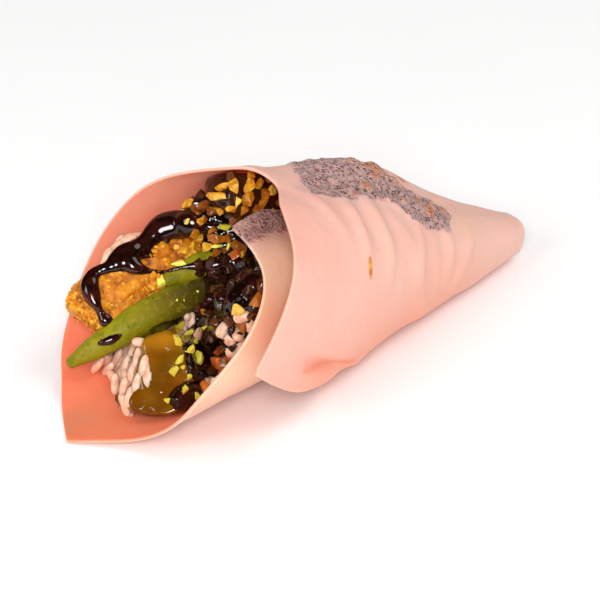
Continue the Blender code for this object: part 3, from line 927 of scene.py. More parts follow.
def chips(count, cuts, seed, bevel=0.03):
    """Shapes with flat broken sides: small blocks cut by several planes."""
    rng = random.Random(seed)
    out = []
    for k in range(count):
        deselect()
        bpy.ops.mesh.primitive_cube_add(size=1.0, rotation=[rng.uniform(0, 3.1) for _ in range(3)])
        chip = bpy.context.object
        bpy.ops.object.transform_apply(location=False, rotation=True, scale=False)
        bpy.ops.object.mode_set(mode='EDIT')
        for _ in range(cuts):
            bpy.ops.mesh.select_all(action='SELECT')
            way = Vector([rng.uniform(-1, 1) for _ in range(3)]).normalized()
            bpy.ops.mesh.bisect(plane_co=way * rng.uniform(0.26, 0.46), plane_no=way,
                                use_fill=True, clear_outer=True)
        bpy.ops.mesh.select_all(action='SELECT')
        if bevel:
            bpy.ops.mesh.bevel(offset=bevel, segments=1, affect='EDGES')
            bpy.ops.mesh.select_all(action='SELECT')
        bpy.ops.mesh.quads_convert_to_tris()
        bpy.ops.mesh.normals_make_consistent(inside=False)
        bpy.ops.object.mode_set(mode='OBJECT')
        low = [min(v.co[c] for v in chip.data.vertices) for c in range(3)]
        high = [max(v.co[c] for v in chip.data.vertices) for c in range(3)]
        for vert in chip.data.vertices:
            vert.co = [(vert.co[c] - (low[c] + high[c]) / 2) / (high[c] - low[c]) for c in range(3)]
        out.append(chip)
    return out


def grain_shapes(seed, count=4):
    """Cooked rice grains a unit long, blunt at one end and slightly bent."""
    rng = random.Random(seed)
    out = []
    for k in range(count):
        deselect()
        bpy.ops.mesh.primitive_uv_sphere_add(segments=10, ring_count=8, radius=0.5,
                                             rotation=(0, math.radians(90), 0))
        grain = bpy.context.object
        bpy.ops.object.transform_apply(location=False, rotation=True, scale=False)
        bend, taper = rng.uniform(0.04, 0.12), rng.uniform(0.05, 0.22)
        for vert in grain.data.vertices:
            x = vert.co.x * 2
            fat = (1 - taper * x) * math.sqrt((1 - min(abs(x), 0.97) ** 3) / (1 - min(abs(x), 0.97) ** 2)) * 0.97
            vert.co.y *= fat
            vert.co.z = vert.co.z * fat * 0.9 - bend * (1 - x * x)
        out.append(grain)
    return out


def under(seen, ovals, edge=0.0):
    """Whether a place on the open face lies inside one of the ovals."""
    for ox, oy, w, h, degrees in ovals:
        t = math.radians(degrees)
        dx, dy = seen[0] - ox, seen[1] - oy
        if math.hypot((dx * math.cos(t) + dy * math.sin(t)) / w, (dy * math.cos(t) - dx * math.sin(t)) / h) < 1 - edge:
            return True
    return False


class FillingSettings(bpy.types.PropertyGroup):
    grain_length: FloatProperty(name="Grain length", description="Length of a cooked grain", default=0.0062, unit='LENGTH')
    grain_width: FloatProperty(name="Grain width", description="Width of a cooked grain", default=0.0026, unit='LENGTH')
    # partly painted light: the rice colours hold a pink tint of light reflected from the wrap
    colour: FloatVectorProperty(name="Rice colour", description="Cooked rice", subtype='COLOR', default=(0.89, 0.56, 0.41))
    shade_colour: FloatVectorProperty(name="Rice shade", description="Duller places on a grain", subtype='COLOR', default=(0.80, 0.41, 0.27))
    seed: IntProperty(name="Seed", description="Start of the scatter", default=7)


class StripSettings(bpy.types.PropertyGroup):
    crumbs: IntProperty(name="Crumbs", description="Loose crumbs on the crust", default=3000)
    colour: FloatVectorProperty(name="Crust colour", description="Golden crust", subtype='COLOR', default=(0.60, 0.19, 0.008))
    dark_colour: FloatVectorProperty(name="Crust shade", description="Deep places in the crust", subtype='COLOR', default=(0.24, 0.050, 0.004))
    light_colour: FloatVectorProperty(name="Crust light", description="Palest crumbs", subtype='COLOR', default=(0.76, 0.31, 0.012))


class AvocadoSettings(bpy.types.PropertyGroup):
    colour: FloatVectorProperty(name="Flesh", description="Avocado flesh", subtype='COLOR', default=(0.20, 0.160, 0.004))
    bright_colour: FloatVectorProperty(name="Bright flesh", description="Flesh near the tip", subtype='COLOR', default=(0.265, 0.235, 0.006))
    # painted shade and sauce: the flesh at the inner end of a slice
    sauce_and_shade_colour: FloatVectorProperty(name="Deep flesh", description="Flesh under sauce", subtype='COLOR', default=(0.032, 0.022, 0.002))


class SauceSettings(bpy.types.PropertyGroup):
    dark_colour: FloatVectorProperty(name="Dark sauce", description="Thick dark sauce", subtype='COLOR', default=(0.0065, 0.0018, 0.0012))
    thin_colour: FloatVectorProperty(name="Thin dark sauce", description="Dark sauce where it is thin", subtype='COLOR', default=(0.050, 0.007, 0.004))
    amber_colour: FloatVectorProperty(name="Amber sauce", description="Sauce pool", subtype='COLOR', default=(0.145, 0.044, 0.0006))
    olive_colour: FloatVectorProperty(name="Olive sauce", description="Greener places in the pool", subtype='COLOR', default=(0.115, 0.048, 0.001))


class ToppingSettings(bpy.types.PropertyGroup):
    nut_colour: FloatVectorProperty(name="Nuts", description="Glazed chopped nuts", subtype='COLOR', default=(0.40, 0.115, 0.004))
    pistachio_colour: FloatVectorProperty(name="Pistachio", description="Chopped pistachio", subtype='COLOR', default=(0.62, 0.50, 0.035))
    cube_colour: FloatVectorProperty(name="Cubes", description="Orange cubes", subtype='COLOR', default=(0.62, 0.16, 0.02))
    seed: IntProperty(name="Seed", description="Start of the scatter", default=11)


def solid_trees(*names):
    return [tree_of(frame["nodes"][n]) for n in names]


def depth_in(tree, spot):
    """How far a spot is inside a solid, in mm; negative outside it."""
    near, normal, _, distance = tree.find_nearest(spot)
    return (distance if (spot - near).dot(normal) < 0 else -distance) / MM


class TEMAKI_OT_rice(bpy.types.Operator):
    """Fills the cone with a rice core and lays real grains over its front"""
    bl_idname = "temaki.rice"
    bl_label = "Rice"

    def execute(self, context):
        s = context.scene.temaki_filling

        def front(angle, part):
            edge = hermite(RICE_EDGE, angle)
            return RICE_MIDDLE + (edge - RICE_MIDDLE) * part ** 1.5, (room(angle, edge) - 0.6) * part

        def core_position(u, v):
            angle = -180 + 360 * u
            if v < 0.04:
                return place_round(27.5, angle, (room(angle, 27.5) - 1.0) * v / 0.04)
            if v < 0.6:
                a = 27.5 + (hermite(RICE_EDGE, angle) - 2.4 - 27.5) * (v - 0.04) / 0.56
                spot = place_round(a, angle, room(angle, a) - 1.0)
            else:
                a, r = front(angle, 1 - (v - 0.6) / 0.4)
                spot = place_round(a - 2.4, angle, max(0.0, r - 0.7))
            push = 0.9 * noise.voronoi(spot / MM / 3.4)[0][0] + 0.25 * noise.noise(spot / MM / 1.2)
            return spot - AXIS * push * MM if v > 0.6 else spot

        core = shaped_grid("rice_core", 110, 100, core_position)
        close_and_face_out(core, 1e-6)
        put_attribute(core, "soak", [0.25] * len(core.data.vertices))
        settle(core, rice_finish(s), "cooked_rice", "rice")

        rng = random.Random(s.seed)
        solids = solid_trees("breaded_strip", "avocado_front", "avocado_back", "nut_heap", "sauce_pool", "dark_sauce")
        shapes = grain_shapes(s.seed)
        laid, grains = [], []

        def lay(spot, facing, crowd=1.8, sink=0.3, soak=None, stray=0.7, lean=0.55):
            a, angle, r = in_roll(spot)
            spot = place_round(a, angle, min(r, room(angle, a) - 2.0))
            depths = [depth_in(tree, spot) for tree in solids]
            if max(depths) > sink or any((spot - other).length < crowd * MM for other in laid):
                return
            seen = spot / MM - FACE_MIDDLE
            seen = (seen.dot(ACROSS), seen.dot(RISE))
            if under(seen, DARK_COAT, 0.12) or under(seen, AMBER_COAT, 0.15):
                return
            if seen[0] < -5 and seen[1] > 6 or seen[0] < 5 and seen[1] > 14 or -4 < seen[0] < 6 and 0 < seen[1] < 8:
                return
            laid.append(spot)
            wet = max(smoothstep((depths[5] + 3.4) / 3.4), 0.55 * smoothstep((depths[4] + 2.0) / 2.0)) if soak is None else soak
            tilt = (facing + Vector([rng.uniform(-lean, lean) for _ in range(3)])).normalized()
            size = rng.uniform(0.88, 1.1)
            grains.append(copy_of(rng.choice(shapes), lying(
                tilt, rng.gauss(1.57, stray), s.grain_length * size, s.grain_width * rng.uniform(0.85, 1.08),
                s.grain_width * rng.uniform(0.8, 1.0), spot), soak=wet * rng.uniform(0.8, 1.0)))

        bank = coat("rice_bank", [tree_of(frame["nodes"]["sauce_pool"]), tree_of(core)], RICE_BANK, 0.4, 160, 2.0)
        put_attribute(bank, "soak", [0.1] * len(bank.data.vertices))
        settle(bank, bpy.data.materials["cooked rice"], "cooked_rice")
        near = [tree_of(bank)]
        for _ in range(900):
            across, rise = rng.uniform(-22, -10), rng.uniform(-29, -9)
            if under((across, rise), RICE_BANK, 0.15):
                spot, facing = on_face(across, rise, near)
                if spot is not None:
                    lay(spot - facing * 0.75 * MM, (facing + OPEN_SIDE).normalized(), 2.0, 9.0, 0.0, 0.3, 0.25)
        for _ in range(2600):
            angle, part = rng.uniform(-180, 180), math.sqrt(rng.uniform(0.004, 1.0))
            a, r = front(angle, part)
            r = min(r, room(angle, a) - 1.9)
            lay(place_round(a + rng.uniform(-1.9, 0.9), angle, r), AXIS)
        # the rice that shows between the strip and the far wall, and low beside the pool
        for _ in range(60):
            angle = rng.uniform(72, 92)
            a = rng.uniform(110, 122.5)
            lay(place_round(a, angle, room(angle, a) - rng.uniform(1.6, 4.5)), AXIS, 1.9, 0.6, 0.0)
        # a few grains squeezed out behind the strip
        for across, rise, depth, spin in ((-18.8, 12.0, -12.6, 0.5), (-21.4, 9.8, -11.4, 0.9), (-17.0, 13.0, -14.2, 0.2),
                                          (-20.4, 11.0, -14.0, 1.2), (-23.0, 7.8, -10.4, 1.3)):
            grains.append(copy_of(shapes[0], lying(OPEN_SIDE, spin, s.grain_length, s.grain_width * 1.1, s.grain_width, (
                FACE_MIDDLE + ACROSS * across + RISE * rise + OPEN_SIDE * depth) * MM), soak=0.05))
        drop(shapes)
        loose = join("rice_grains", grains)
        settle(loose, bpy.data.materials["cooked rice"], "cooked_rice")
        return {'FINISHED'}


class TEMAKI_OT_strip(bpy.types.Operator):
    """Makes the breaded strip with its crust and loose crumbs"""
    bl_idname = "temaki.strip"
    bl_label = "Breaded strip"

    def execute(self, context):
        s = context.scene.temaki_strip

        def relief(spot):
            warp = spot / MM + Vector((rough_noise(spot, 3.0, 2), rough_noise(spot + UP * 0.1, 3.0, 2), 0)) * 1.6
            near = noise.voronoi(warp / 3.0)[0]
            return 0.35 * (near[1] - near[0]) + 0.75 * rough_noise(spot, 3.6, 5) + 0.25 * rough_noise(spot, 1.1, 2) - 0.1

        strip = bar("breaded_strip_crust", BREADED_STRIP, 120, 230, 0.6, relief, 0.018, 0.5)
        # painted shade: the relief term paints the crust's hollows darker and its peaks lighter
        put_attribute(strip, "shade", [
            0.27 + 0.08 * smoothstep((in_roll(v.co)[0] - 112) / 14) + 0.46 * relief(v.co) + 0.14 * noise.noise(v.co / MM / 7)
            for v in strip.data.vertices])
        finish = crust_finish(s)
        settle(strip, finish, "fried_crumb", "breaded_strip")

        rng = random.Random(5)
        shapes = chips(8, 6, 21, 0)
        faces = [p for p in strip.data.polygons if in_roll(p.center)[0] > 88]
        crumbs = []
        for _ in range(s.crumbs):
            face = rng.choice(faces)
            fine = in_roll(face.center)[0] > 122
            size = rng.uniform(0.45, 1.0) if fine else rng.uniform(0.7, 1.9)
            tilt = (face.normal + Vector([rng.uniform(-0.6, 0.6) for _ in range(3)])).normalized()
            crumbs.append(copy_of(rng.choice(shapes), lying(
                tilt, rng.uniform(0, 6.283), size * rng.uniform(1.0, 1.5) * MM, size * MM,
                size * rng.uniform(0.4, 0.8) * MM, face.center - face.normal * 0.1 * MM),
                shade=rng.uniform(0.22, 0.95)))
        drop(shapes)
        settle(join("crust_crumbs", crumbs), finish, "fried_crumb", angle=35)
        return {'FINISHED'}


class TEMAKI_OT_avocado(bpy.types.Operator):
    """Makes the two avocado slices"""
    bl_idname = "temaki.avocado"
    bl_label = "Avocado"

    def execute(self, context):
        finish = avocado_finish(context.scene.temaki_avocado)
        for name, stations, node in (("avocado_slice_front", AVOCADO_FRONT, "avocado_front"),
                                     ("avocado_slice_back", AVOCADO_BACK, "avocado_back")):
            piece = bar(name, stations, 56, 150, 0.12,
                        lambda spot: 0.16 * rough_noise(spot, 5.0, 2) + 0.05 * noise.noise(spot / MM / 1.3), 0.012)
            frames = bar_frames(stations, 60)
            along, rim = [], []
            for vert in piece.data.vertices:
                k = min(range(61), key=lambda i: (frames[i][0] - vert.co).length_squared)
                middle, _, wide, _, width, _ = frames[k]
                along.append(k / 60)
                rim.append(smoothstep(((vert.co - middle).dot(wide) / MM / width - 0.55) / 0.4))
            put_attribute(piece, "along", along)
            put_attribute(piece, "rim", rim)
            settle(piece, finish, "avocado", node)
        return {'FINISHED'}


# where sauce lies over the rice on the open face: across, rise, half width, half height, turn
DARK_COAT = ((8.6, 5.2, 9.0, 8.0, 0), (2.4, -3.8, 7.5, 3.4, 18), (-8.2, -6.6, 5.2, 1.9, 24), (0.8, -13.0, 5.0, 9.0, 0),
             (-2.6, -24.4, 5.2, 3.8, 10), (5.0, -12.0, 4.6, 5.4, 0), (9.5, -4.0, 6.5, 4.5, 0), (5.4, 12.6, 6.0, 5.0, 0),
             (1.4, 16.4, 5.6, 3.0, -8), (0.2, 19.6, 4.6, 3.4, -20))
RICE_BANK = ((-16.6, -19.6, 4.8, 10.0, 0), (-15.4, -12.4, 6.0, 3.4, 30))
AMBER_COAT = ((-8.0, -18.0, 8.6, 11.4, 0), (-10.6, -25.4, 9.0, 4.4, -4), (-10.4, -12.4, 5.2, 3.8, 10))
# sauce run over the strip, seen on the open face: across, rise, radius
DRIZZLE = (((2.0, 15.5, 1.2), (-0.9, 16.3, 1.3), (-3.7, 16.3, 2.8), (-6.4, 16.2, 2.9), (-9.0, 15.7, 2.9), (-11.6, 14.2, 2.3),
            (-13.4, 12.4, 1.9), (-15.0, 11.0, 1.9), (-16.6, 9.8, 2.3), (-18.6, 8.5, 2.6), (-20.2, 7.2, 2.3), (-22.4, 6.0, 1.3),
            (-24.8, 5.2, 1.2), (-26.3, 3.8, 1.5), (-26.8, 1.4, 1.9), (-26.2, -0.8, 1.8), (-25.0, -3.2, 1.0), (-24.2, -4.9, 0.9),
            (-23.0, -6.6, 1.5)),
           ((-15.8, 9.4, 1.3), (-13.8, 9.3, 1.1), (-12.0, 8.8, 0.6)),
           ((-17.8, 7.0, 2.0), (-15.8, 5.9, 1.5), (-13.2, 5.2, 0.8), (-10.5, 4.8, 0.6), (-8.0, 5.2, 0.6), (-5.2, 6.0, 0.6),
            (-2.6, 6.3, 0.9), (-0.6, 6.4, 1.2), (2.0, 6.6, 1.4), (4.8, 6.9, 1.4), (7.0, 7.4, 1.6)),
           ((0.8, 3.4, 0.9), (1.7, 1.9, 1.2), (1.9, 0.4, 1.3), (1.6, -1.2, 1.2), (0.6, -2.6, 0.9)),
           ((1.6, 4.2, 1.0), (3.2, 2.6, 1.5), (4.2, 0.6, 1.7), (4.8, -1.4, 1.6)),
           ((-24.2, -11.9, 0.7), (-23.0, -11.6, 0.9), (-21.6, -11.1, 1.05), (-20.3, -10.5, 0.8), (-19.4, -10.0, 0.5)))


class TEMAKI_OT_sauce(bpy.types.Operator):
    """Pours the amber pool, the dark sauce and the dark drizzle over the strip"""
    bl_idname = "temaki.sauce"
    bl_label = "Sauces"

    def execute(self, context):
        s = context.scene.temaki_sauce

        core = tree_of(bpy.data.objects["rice_core"])
        depth = blob("depth", cols=70, rows=50, shrink=3.4, **POOL)
        body = tree_of(depth)
        pool = join("amber_pool", [coat("top", [body, core, tree_of(bpy.data.objects["rice_bank"])], AMBER_COAT, 1.0, 110, 2.4,
                                          ragged=0.08, plane=(5.0, 0.06, -0.16)), depth])
        put_attribute(pool, "thin", [
            0.25 * smoothstep(0.5 + noise.noise(v.co / MM / 4))
            + 0.75 * smoothstep(((v.co / MM - FACE_MIDDLE).dot(RISE) + 15) / 4) for v in pool.data.vertices])
        settle(pool, amber_finish(s), "amber_sauce", "sauce_pool")

        def covered(spot):
            near = noise.voronoi(spot / MM / 3.6)[0]
            low = smoothstep((4 - (spot / MM - FACE_MIDDLE).dot(RISE)) / 8)
            return (0.06 + 0.7 * low) * (1.1 * (near[1] - near[0]) - 0.4) + 0.12 * rough_noise(spot, 4.0, 2)

        dark = blob("dark_sauce_body", relief=covered, cols=150, rows=110, shrink=1.3, **DARK)
        put_attribute(dark, "thin", [0.10 + 0.30 * max(0.0, covered(v.co)) for v in dark.data.vertices])
        finish = dark_sauce_finish(s)
        settle(dark, finish, "dark_sauce", "dark_sauce")
        over = coat("dark_sauce_coat", [tree_of(dark), tree_of(pool), core], DARK_COAT, 2.6, 70, 1.8)
        put_attribute(over, "thin", [0.12 + 0.25 * max(0.0, rough_noise(v.co, 2.6, 2)) for v in over.data.vertices])
        for vert in over.data.vertices:
            seen = vert.co / MM - FACE_MIDDLE
            low = max(smoothstep((2 - seen.dot(RISE)) / 6), smoothstep((seen.dot(ACROSS) + 4) / 5))
            near = noise.voronoi(vert.co / MM / 3.0)[0]
            vert.co += OPEN_SIDE * low * (0.8 * (near[1] - near[0]) + 0.35 * noise.noise(vert.co / MM / 1.3) - 0.3) * MM
        settle(over, finish, "dark_sauce")

        trees = [tree_of(bpy.data.objects[n]) for n in ("breaded_strip_crust", "avocado_slice_front", "avocado_slice_back", "dark_sauce_body", "dark_sauce_coat", "rice_core")]
        beads = []
        for path in DRIZZLE:
            total = sum(math.dist(p[:2], q[:2]) for p, q in zip(path, path[1:]))
            steps = max(6, int(total / 0.45))
            for k in range(steps + 1):
                u = k / steps * (len(path) - 1)
                across, rise, r = (hermite([(i, p[c]) for i, p in enumerate(path)], u) for c in range(3))
                spot, facing = on_face(across, rise, trees)
                if spot is None:
                    raise RuntimeError("the drizzle misses the filling")
                facing = (facing + OPEN_SIDE * 1.5).normalized()
                beads.append((spot + facing * 0.22 * r * MM, facing, r * 1.22, 0.60))
        for across, rise, r in ((-18.5, 11.0, 0.9), (-9.0, 12.4, 1.1), (-5.2, 13.6, 1.2), (-16.4, 4.6, 0.5)):
            spot, facing = on_face(across, rise, trees)
            beads.append((spot, OPEN_SIDE, r, 0.6))
        run = poured("dark_drizzle", beads)
        put_attribute(run, "thin", [0.20 + 0.4 * max(0.0, noise.noise(v.co / MM / 3))
                                    + 0.25 * smoothstep((-22 - (v.co / MM - FACE_MIDDLE).dot(ACROSS)) / 4)
                                    * smoothstep((-2 - (v.co / MM - FACE_MIDDLE).dot(RISE)) / 3) for v in run.data.vertices])
        settle(run, finish, "dark_sauce")
        return {'FINISHED'}


# chopped pieces seen on the open face: across, rise, length, width, height, spin, shade
HEAP_NUTS = ((-3.6, 21.0, 4.6, 2.4, 3.2, 0.50, 0.72), (3.4, 22.6, 5.4, 2.2, 2.2, 0.05, 0.78), (5.0, 25.0, 4.4, 1.9, 2.0, 0.55, 0.66),
             (7.3, 25.2, 4.2, 2.5, 2.2, 1.65, 0.70), (10.7, 25.4, 3.6, 2.9, 2.4, 1.40, 0.72), (13.2, 25.9, 2.9, 2.4, 2.2, 1.20, 0.60),
             (14.3, 23.6, 2.6, 2.4, 2.2, 0.80, 0.45), (15.9, 24.2, 2.8, 2.6, 2.2, 0.40, 0.80), (7.9, 21.5, 2.5, 2.2, 2.2, 0.30, 0.90),
             (10.4, 22.0, 4.6, 3.4, 2.4, 0.60, 0.52), (14.0, 21.4, 4.4, 1.9, 2.0, 0.70, 0.58), (0.2, 20.8, 3.6, 2.6, 2.0, 0.90, 0.34),
             (1.8, 19.4, 3.2, 2.2, 1.8, 2.50, 0.30), (4.0, 19.7, 2.6, 2.4, 2.0, 0.40, 0.56), (6.7, 19.7, 2.9, 2.1, 2.0, 0.20, 0.62),
             (9.4, 19.4, 3.0, 2.0, 1.8, 0.80, 0.50), (12.3, 19.6, 2.6, 2.0, 1.8, 0.60, 0.46), (-1.6, 18.8, 2.6, 1.8, 1.6, 0.40, 0.34),
             (-0.6, 23.0, 3.0, 2.4, 1.8, 0.70, 0.16), (-2.2, 20.0, 2.6, 1.8, 1.6, 1.90, 0.30))
SAUCE_NUTS = ((-0.5, 16.9, 3.2, 2.0, 1.6, 0.10, 0.60), (-3.8, 16.9, 1.8, 1.0, 0.9, 1.00, 0.90), (-0.6, 13.2, 3.6, 2.6, 2.0, 0.90, 0.66),
              (0.8, 11.2, 3.4, 2.4, 2.0, 0.40, 0.70), (3.2, 12.9, 4.6, 2.6, 2.0, 0.10, 0.48), (-3.0, 11.0, 3.0, 2.4, 1.8, 1.20, 0.66),
              (-4.9, 10.0, 3.0, 2.2, 1.8, 0.30, 0.68), (-2.2, 14.0, 2.8, 2.0, 1.6, 0.80, 0.52), (2.0, 14.9, 2.6, 1.8, 1.6, 0.30, 0.44),
              (5.8, 12.6, 3.0, 2.4, 2.0, 0.60, 0.34), (8.5, 10.9, 4.6, 3.0, 2.2, 2.30, 0.36), (9.0, 9.4, 2.6, 2.0, 1.8, 1.90, 0.74),
              (3.0, 9.6, 2.6, 1.8, 1.6, 0.50, 0.36), (-2.2, 9.4, 2.6, 2.0, 1.6, 0.20, 0.66), (5.4, 10.4, 2.8, 1.8, 1.6, 1.00, 0.30),
              (8.4, -4.1, 3.6, 3.2, 2.6, 0.7, 0.86), (13.0, -1.9, 4.2, 3.4, 2.8, 0.5, 0.48), (13.8, 1.6, 3.8, 2.8, 2.4, 1.0, 0.20),
              (9.8, -7.6, 4.0, 2.8, 2.4, 0.5, 0.38), (6.6, -6.4, 3.4, 2.6, 2.2, 2.0, 0.16), (3.6, -7.0, 3.0, 2.6, 2.0, 0.6, 0.22),
              (1.4, -5.0, 2.6, 2.2, 1.8, 1.4, 0.14), (0.4, -4.6, 2.2, 1.6, 1.4, 0.2, 0.50), (5.0, -13.0, 3.2, 2.6, 2.2, 0.9, 0.20),
              (2.2, -10.8, 2.8, 2.2, 1.8, 0.4, 0.14), (2.0, -18.6, 3.0, 2.4, 2.0, 0.4, 0.12), (11.6, -5.0, 2.8, 2.2, 2.0, 0.4, 0.22),
              (9.6, 3.4, 3.4, 2.6, 2.0, 0.4, 0.06), (7.2, 1.6, 3.2, 2.4, 2.0, 1.4, 0.05), (11.0, 0.4, 3.4, 2.6, 2.2, 0.9, 0.08),
              (6.4, 5.4, 3.0, 2.4, 2.0, 0.2, 0.06), (9.4, 6.6, 3.2, 2.2, 2.0, 1.8, 0.07))
PISTACHIOS = ((-6.2, -8.1, 3.7, 2.9, 2.2, 0.2, 0.40), (-3.3, -9.8, 3.4, 1.7, 1.6, 1.0, 0.35), (-5.7, -11.2, 3.2, 2.0, 1.8, 2.2, 0.40),
              (-2.7, -13.3, 2.7, 2.1, 1.8, 0.3, 0.45), (-0.9, -15.4, 3.6, 2.5, 2.0, 1.1, 0.62), (-4.9, -15.7, 3.0, 1.6, 1.5, 1.0, 0.55),
              (-6.2, -18.4, 2.6, 2.4, 1.8, 0.4, 0.42), (-2.7, -19.4, 1.9, 1.4, 1.2, 0.8, 0.55), (-3.7, -22.4, 2.4, 1.5, 1.3, 1.2, 0.35),
              (-1.3, -24.0, 2.2, 1.5, 1.3, 2.0, 0.60), (-7.7, -25.0, 1.7, 1.5, 1.2, 0.0, 0.50), (-1.7, -11.6, 1.6, 1.3, 1.1, 0.5, 0.45),
              (-4.2, -17.4, 1.4, 1.1, 1.0, 0.5, 0.50), (0.6, -8.4, 1.6, 1.1, 1.0, 0.4, 0.40), (-5.7, 6.8, 3.8, 1.7, 1.4, 0.1, 0.90),
              (-10.1, 2.5, 3.2, 2.7, 1.8, 0.9, 0.95), (3.2, 11.1, 3.0, 1.1, 1.0, 0.2, 0.85), (5.8, 11.0, 3.0, 1.0, 0.9, 1.1, 0.80),
              (5.3, 15.6, 3.6, 1.7, 1.5, 0.1, 0.45), (-1.4, 0.3, 0.7, 0.6, 0.5, 0.2, 0.95), (-6.2, -1.8, 0.7, 0.6, 0.5, 0.8, 0.95), (-4.6, -1.8, 0.6, 0.5, 0.5, 1.2, 0.95))
CUBES = ((3.9, -16.2, 3.4, 3.0, 2.6, 0.3, 0.55), (0.9, -21.8, 3.2, 3.0, 2.6, 0.7, 0.85), (6.4, -15.2, 2.8, 2.4, 2.2, 0.1, 0.45),
         (4.8, -18.4, 2.6, 2.2, 2.0, 0.9, 0.30), (3.8, -13.6, 2.8, 2.2, 2.0, 0.5, 0.30), (7.6, 8.8, 2.8, 2.2, 2.0, 0.4, 0.55))
LOOSE_GRAINS = ((-16.7, -13.5, 1.75, 0.0), (-18.3, -17.2, 1.5, 0.0), (-16.2, -18.4, 1.65, 0.0), (-18.4, -22.3, 1.55, 0.0),
                (-16.9, -24.4, 1.7, 0.0), (-15.1, -15.4, 1.8, 0.0), (-15.0, -21.0, 1.5, 0.08), (-17.9, -26.4, 1.9, 0.0),
                (-14.4, -11.7, 0.2, 0.0), (-13.4, -17.0, 1.4, 0.08), (-1.4, -10.4, 1.0, 0.5), (9.6, -5.6, 0.3, 0.32),
                (11.4, -7.4, 1.9, 0.26), (8.8, -9.4, 0.9, 0.36), (6.2, -10.6, 2.4, 0.40), (9.2, -12.2, 1.6, 0.24),
                (7.6, -13.6, 0.4, 0.34), (5.0, -8.6, 1.2, 0.30), (3.6, -23.0, 1.0, 0.12))


def scattered(shapes, rows, trees, sink=0.25):
    """Chips laid where the rows say, partly sunk into what they land on."""
    out = []
    for k, (across, rise, x, y, z, spin, shade) in enumerate(rows):
        spot, facing = on_face(across, rise, trees)
        if spot is None:
            continue
        facing = (facing + OPEN_SIDE).normalized()
        out.append(copy_of(shapes[k % len(shapes)], lying(facing, spin, x * MM, y * MM, z * MM,
                                                          spot + facing * z * (0.5 - sink) * MM), shade=shade))
    return out


class TEMAKI_OT_nuts(bpy.types.Operator):
    """Heaps the glazed chopped nuts and drops nuts into the dark sauce"""
    bl_idname = "temaki.nuts"
    bl_label = "Nuts"

    def execute(self, context):
        s = context.scene.temaki_topping
        finish = nut_finish(s)
        glaze = blob("nut_glaze", relief=lambda spot: 0.5 * rough_noise(spot, 3.0, 3), cols=80, rows=56, **NUTS)
        put_attribute(glaze, "shade", [0.08 + 0.10 * noise.noise(v.co / MM / 2.5) for v in glaze.data.vertices])
        settle(glaze, finish, "chopped_nuts", "nut_heap")
        trees = [tree_of(bpy.data.objects[n]) for n in
                 ("nut_glaze", "breaded_strip_crust", "dark_sauce_body", "dark_drizzle", "dark_sauce_coat", "amber_pool", "avocado_slice_back", "rice_core", "rice_grains")]
        shapes = chips(9, 8, 3)
        pieces = scattered(shapes, HEAP_NUTS, trees, 0.3) + scattered(shapes, SAUCE_NUTS, trees, 0.35)
        rng = random.Random(s.seed)
        laid = [(r[0], r[1]) for r in HEAP_NUTS + SAUCE_NUTS + PISTACHIOS + CUBES]
        tries = 0
        while len(pieces) < 80 and tries < 4000:
            tries += 1
            top = rng.random() < 0.62
            across, rise = (rng.uniform(-1, 18), rng.uniform(17, 28)) if top else (rng.uniform(-3, 15), rng.uniform(-24, 14))
            spot, facing = on_face(across, rise, trees[:1] if top else trees[4:5])
            if spot is None or min(math.dist((across, rise), p) for p in laid) < (2.3 if top else 2.2):
                continue
            if top and across < 6.5 and rise > 23.6:
                continue
            if not top and (rise > -3 and across > 5.5 or across < -2):
                continue
            laid.append((across, rise))
            size = rng.uniform(1.6, 2.8)
            pieces += scattered([rng.choice(shapes)], [(across, rise, size * 1.3, size, size * 0.8, rng.uniform(0, 3.1),
                                                       rng.uniform(0.12, 0.66) if top else rng.uniform(0.0, 0.14))], trees, 0.35)
        drop(shapes)
        settle(join("chopped_nuts", pieces), finish, "chopped_nuts", angle=22)
        return {'FINISHED'}


class TEMAKI_OT_toppings(bpy.types.Operator):
    """Drops pistachio, orange cubes and loose grains onto the filling"""
    bl_idname = "temaki.toppings"
    bl_label = "Toppings"

    def execute(self, context):
        s = context.scene.temaki_topping
        trees = [tree_of(bpy.data.objects[n]) for n in
                 ("dark_sauce_body", "dark_sauce_coat", "amber_pool", "dark_drizzle", "avocado_slice_back", "avocado_slice_front",
                  "breaded_strip_crust", "rice_grains", "rice_bank", "rice_core")]
        shapes = chips(7, 7, 8)
        settle(join("pistachio_bits", scattered(shapes, PISTACHIOS, trees, 0.2)), pistachio_finish(s), "chopped_nuts", angle=32)
        drop(shapes)
        shapes = chips(5, 3, 30, 0.08)
        settle(join("orange_cubes", scattered(shapes, CUBES, trees, 0.3)), cube_finish(s), "chopped_nuts", angle=40)
        drop(shapes)

        f = context.scene.temaki_filling
        shapes = grain_shapes(19)
        grains = []
        for k, (across, rise, spin, soak) in enumerate(LOOSE_GRAINS):
            spot, facing = on_face(across, rise, trees)
            if spot is None:
                continue
            facing = (facing + OPEN_SIDE * 1.5).normalized()
            grains.append(copy_of(shapes[k % 4], lying(facing, spin, f.grain_length * (0.85 if across < 0 else 0.7), f.grain_width * (0.9 if across < 0 else 1.15), f.grain_width * 0.85,
                                                       spot + facing * 0.1 * MM), soak=soak))
        drop(shapes)
        settle(join("loose_grains", grains), bpy.data.materials["cooked rice"], "cooked_rice")
        return {'FINISHED'}


# ---------------------------------------------------------------- the stage
class StageSettings(bpy.types.PropertyGroup):
    lens: FloatProperty(name="Lens", description="Focal length in mm", default=210.2)
    floor_colour: FloatVectorProperty(name="Floor", description="Plain pale floor", subtype='COLOR', default=(0.93, 0.93, 0.93))
    key: FloatProperty(name="Key light", description="Main soft light in watts", default=9.4)
    fill: FloatProperty(name="Fill light", description="Second soft light in watts", default=4.0)
    sky: FloatProperty(name="Sky", description="Light from all round", default=0.58)


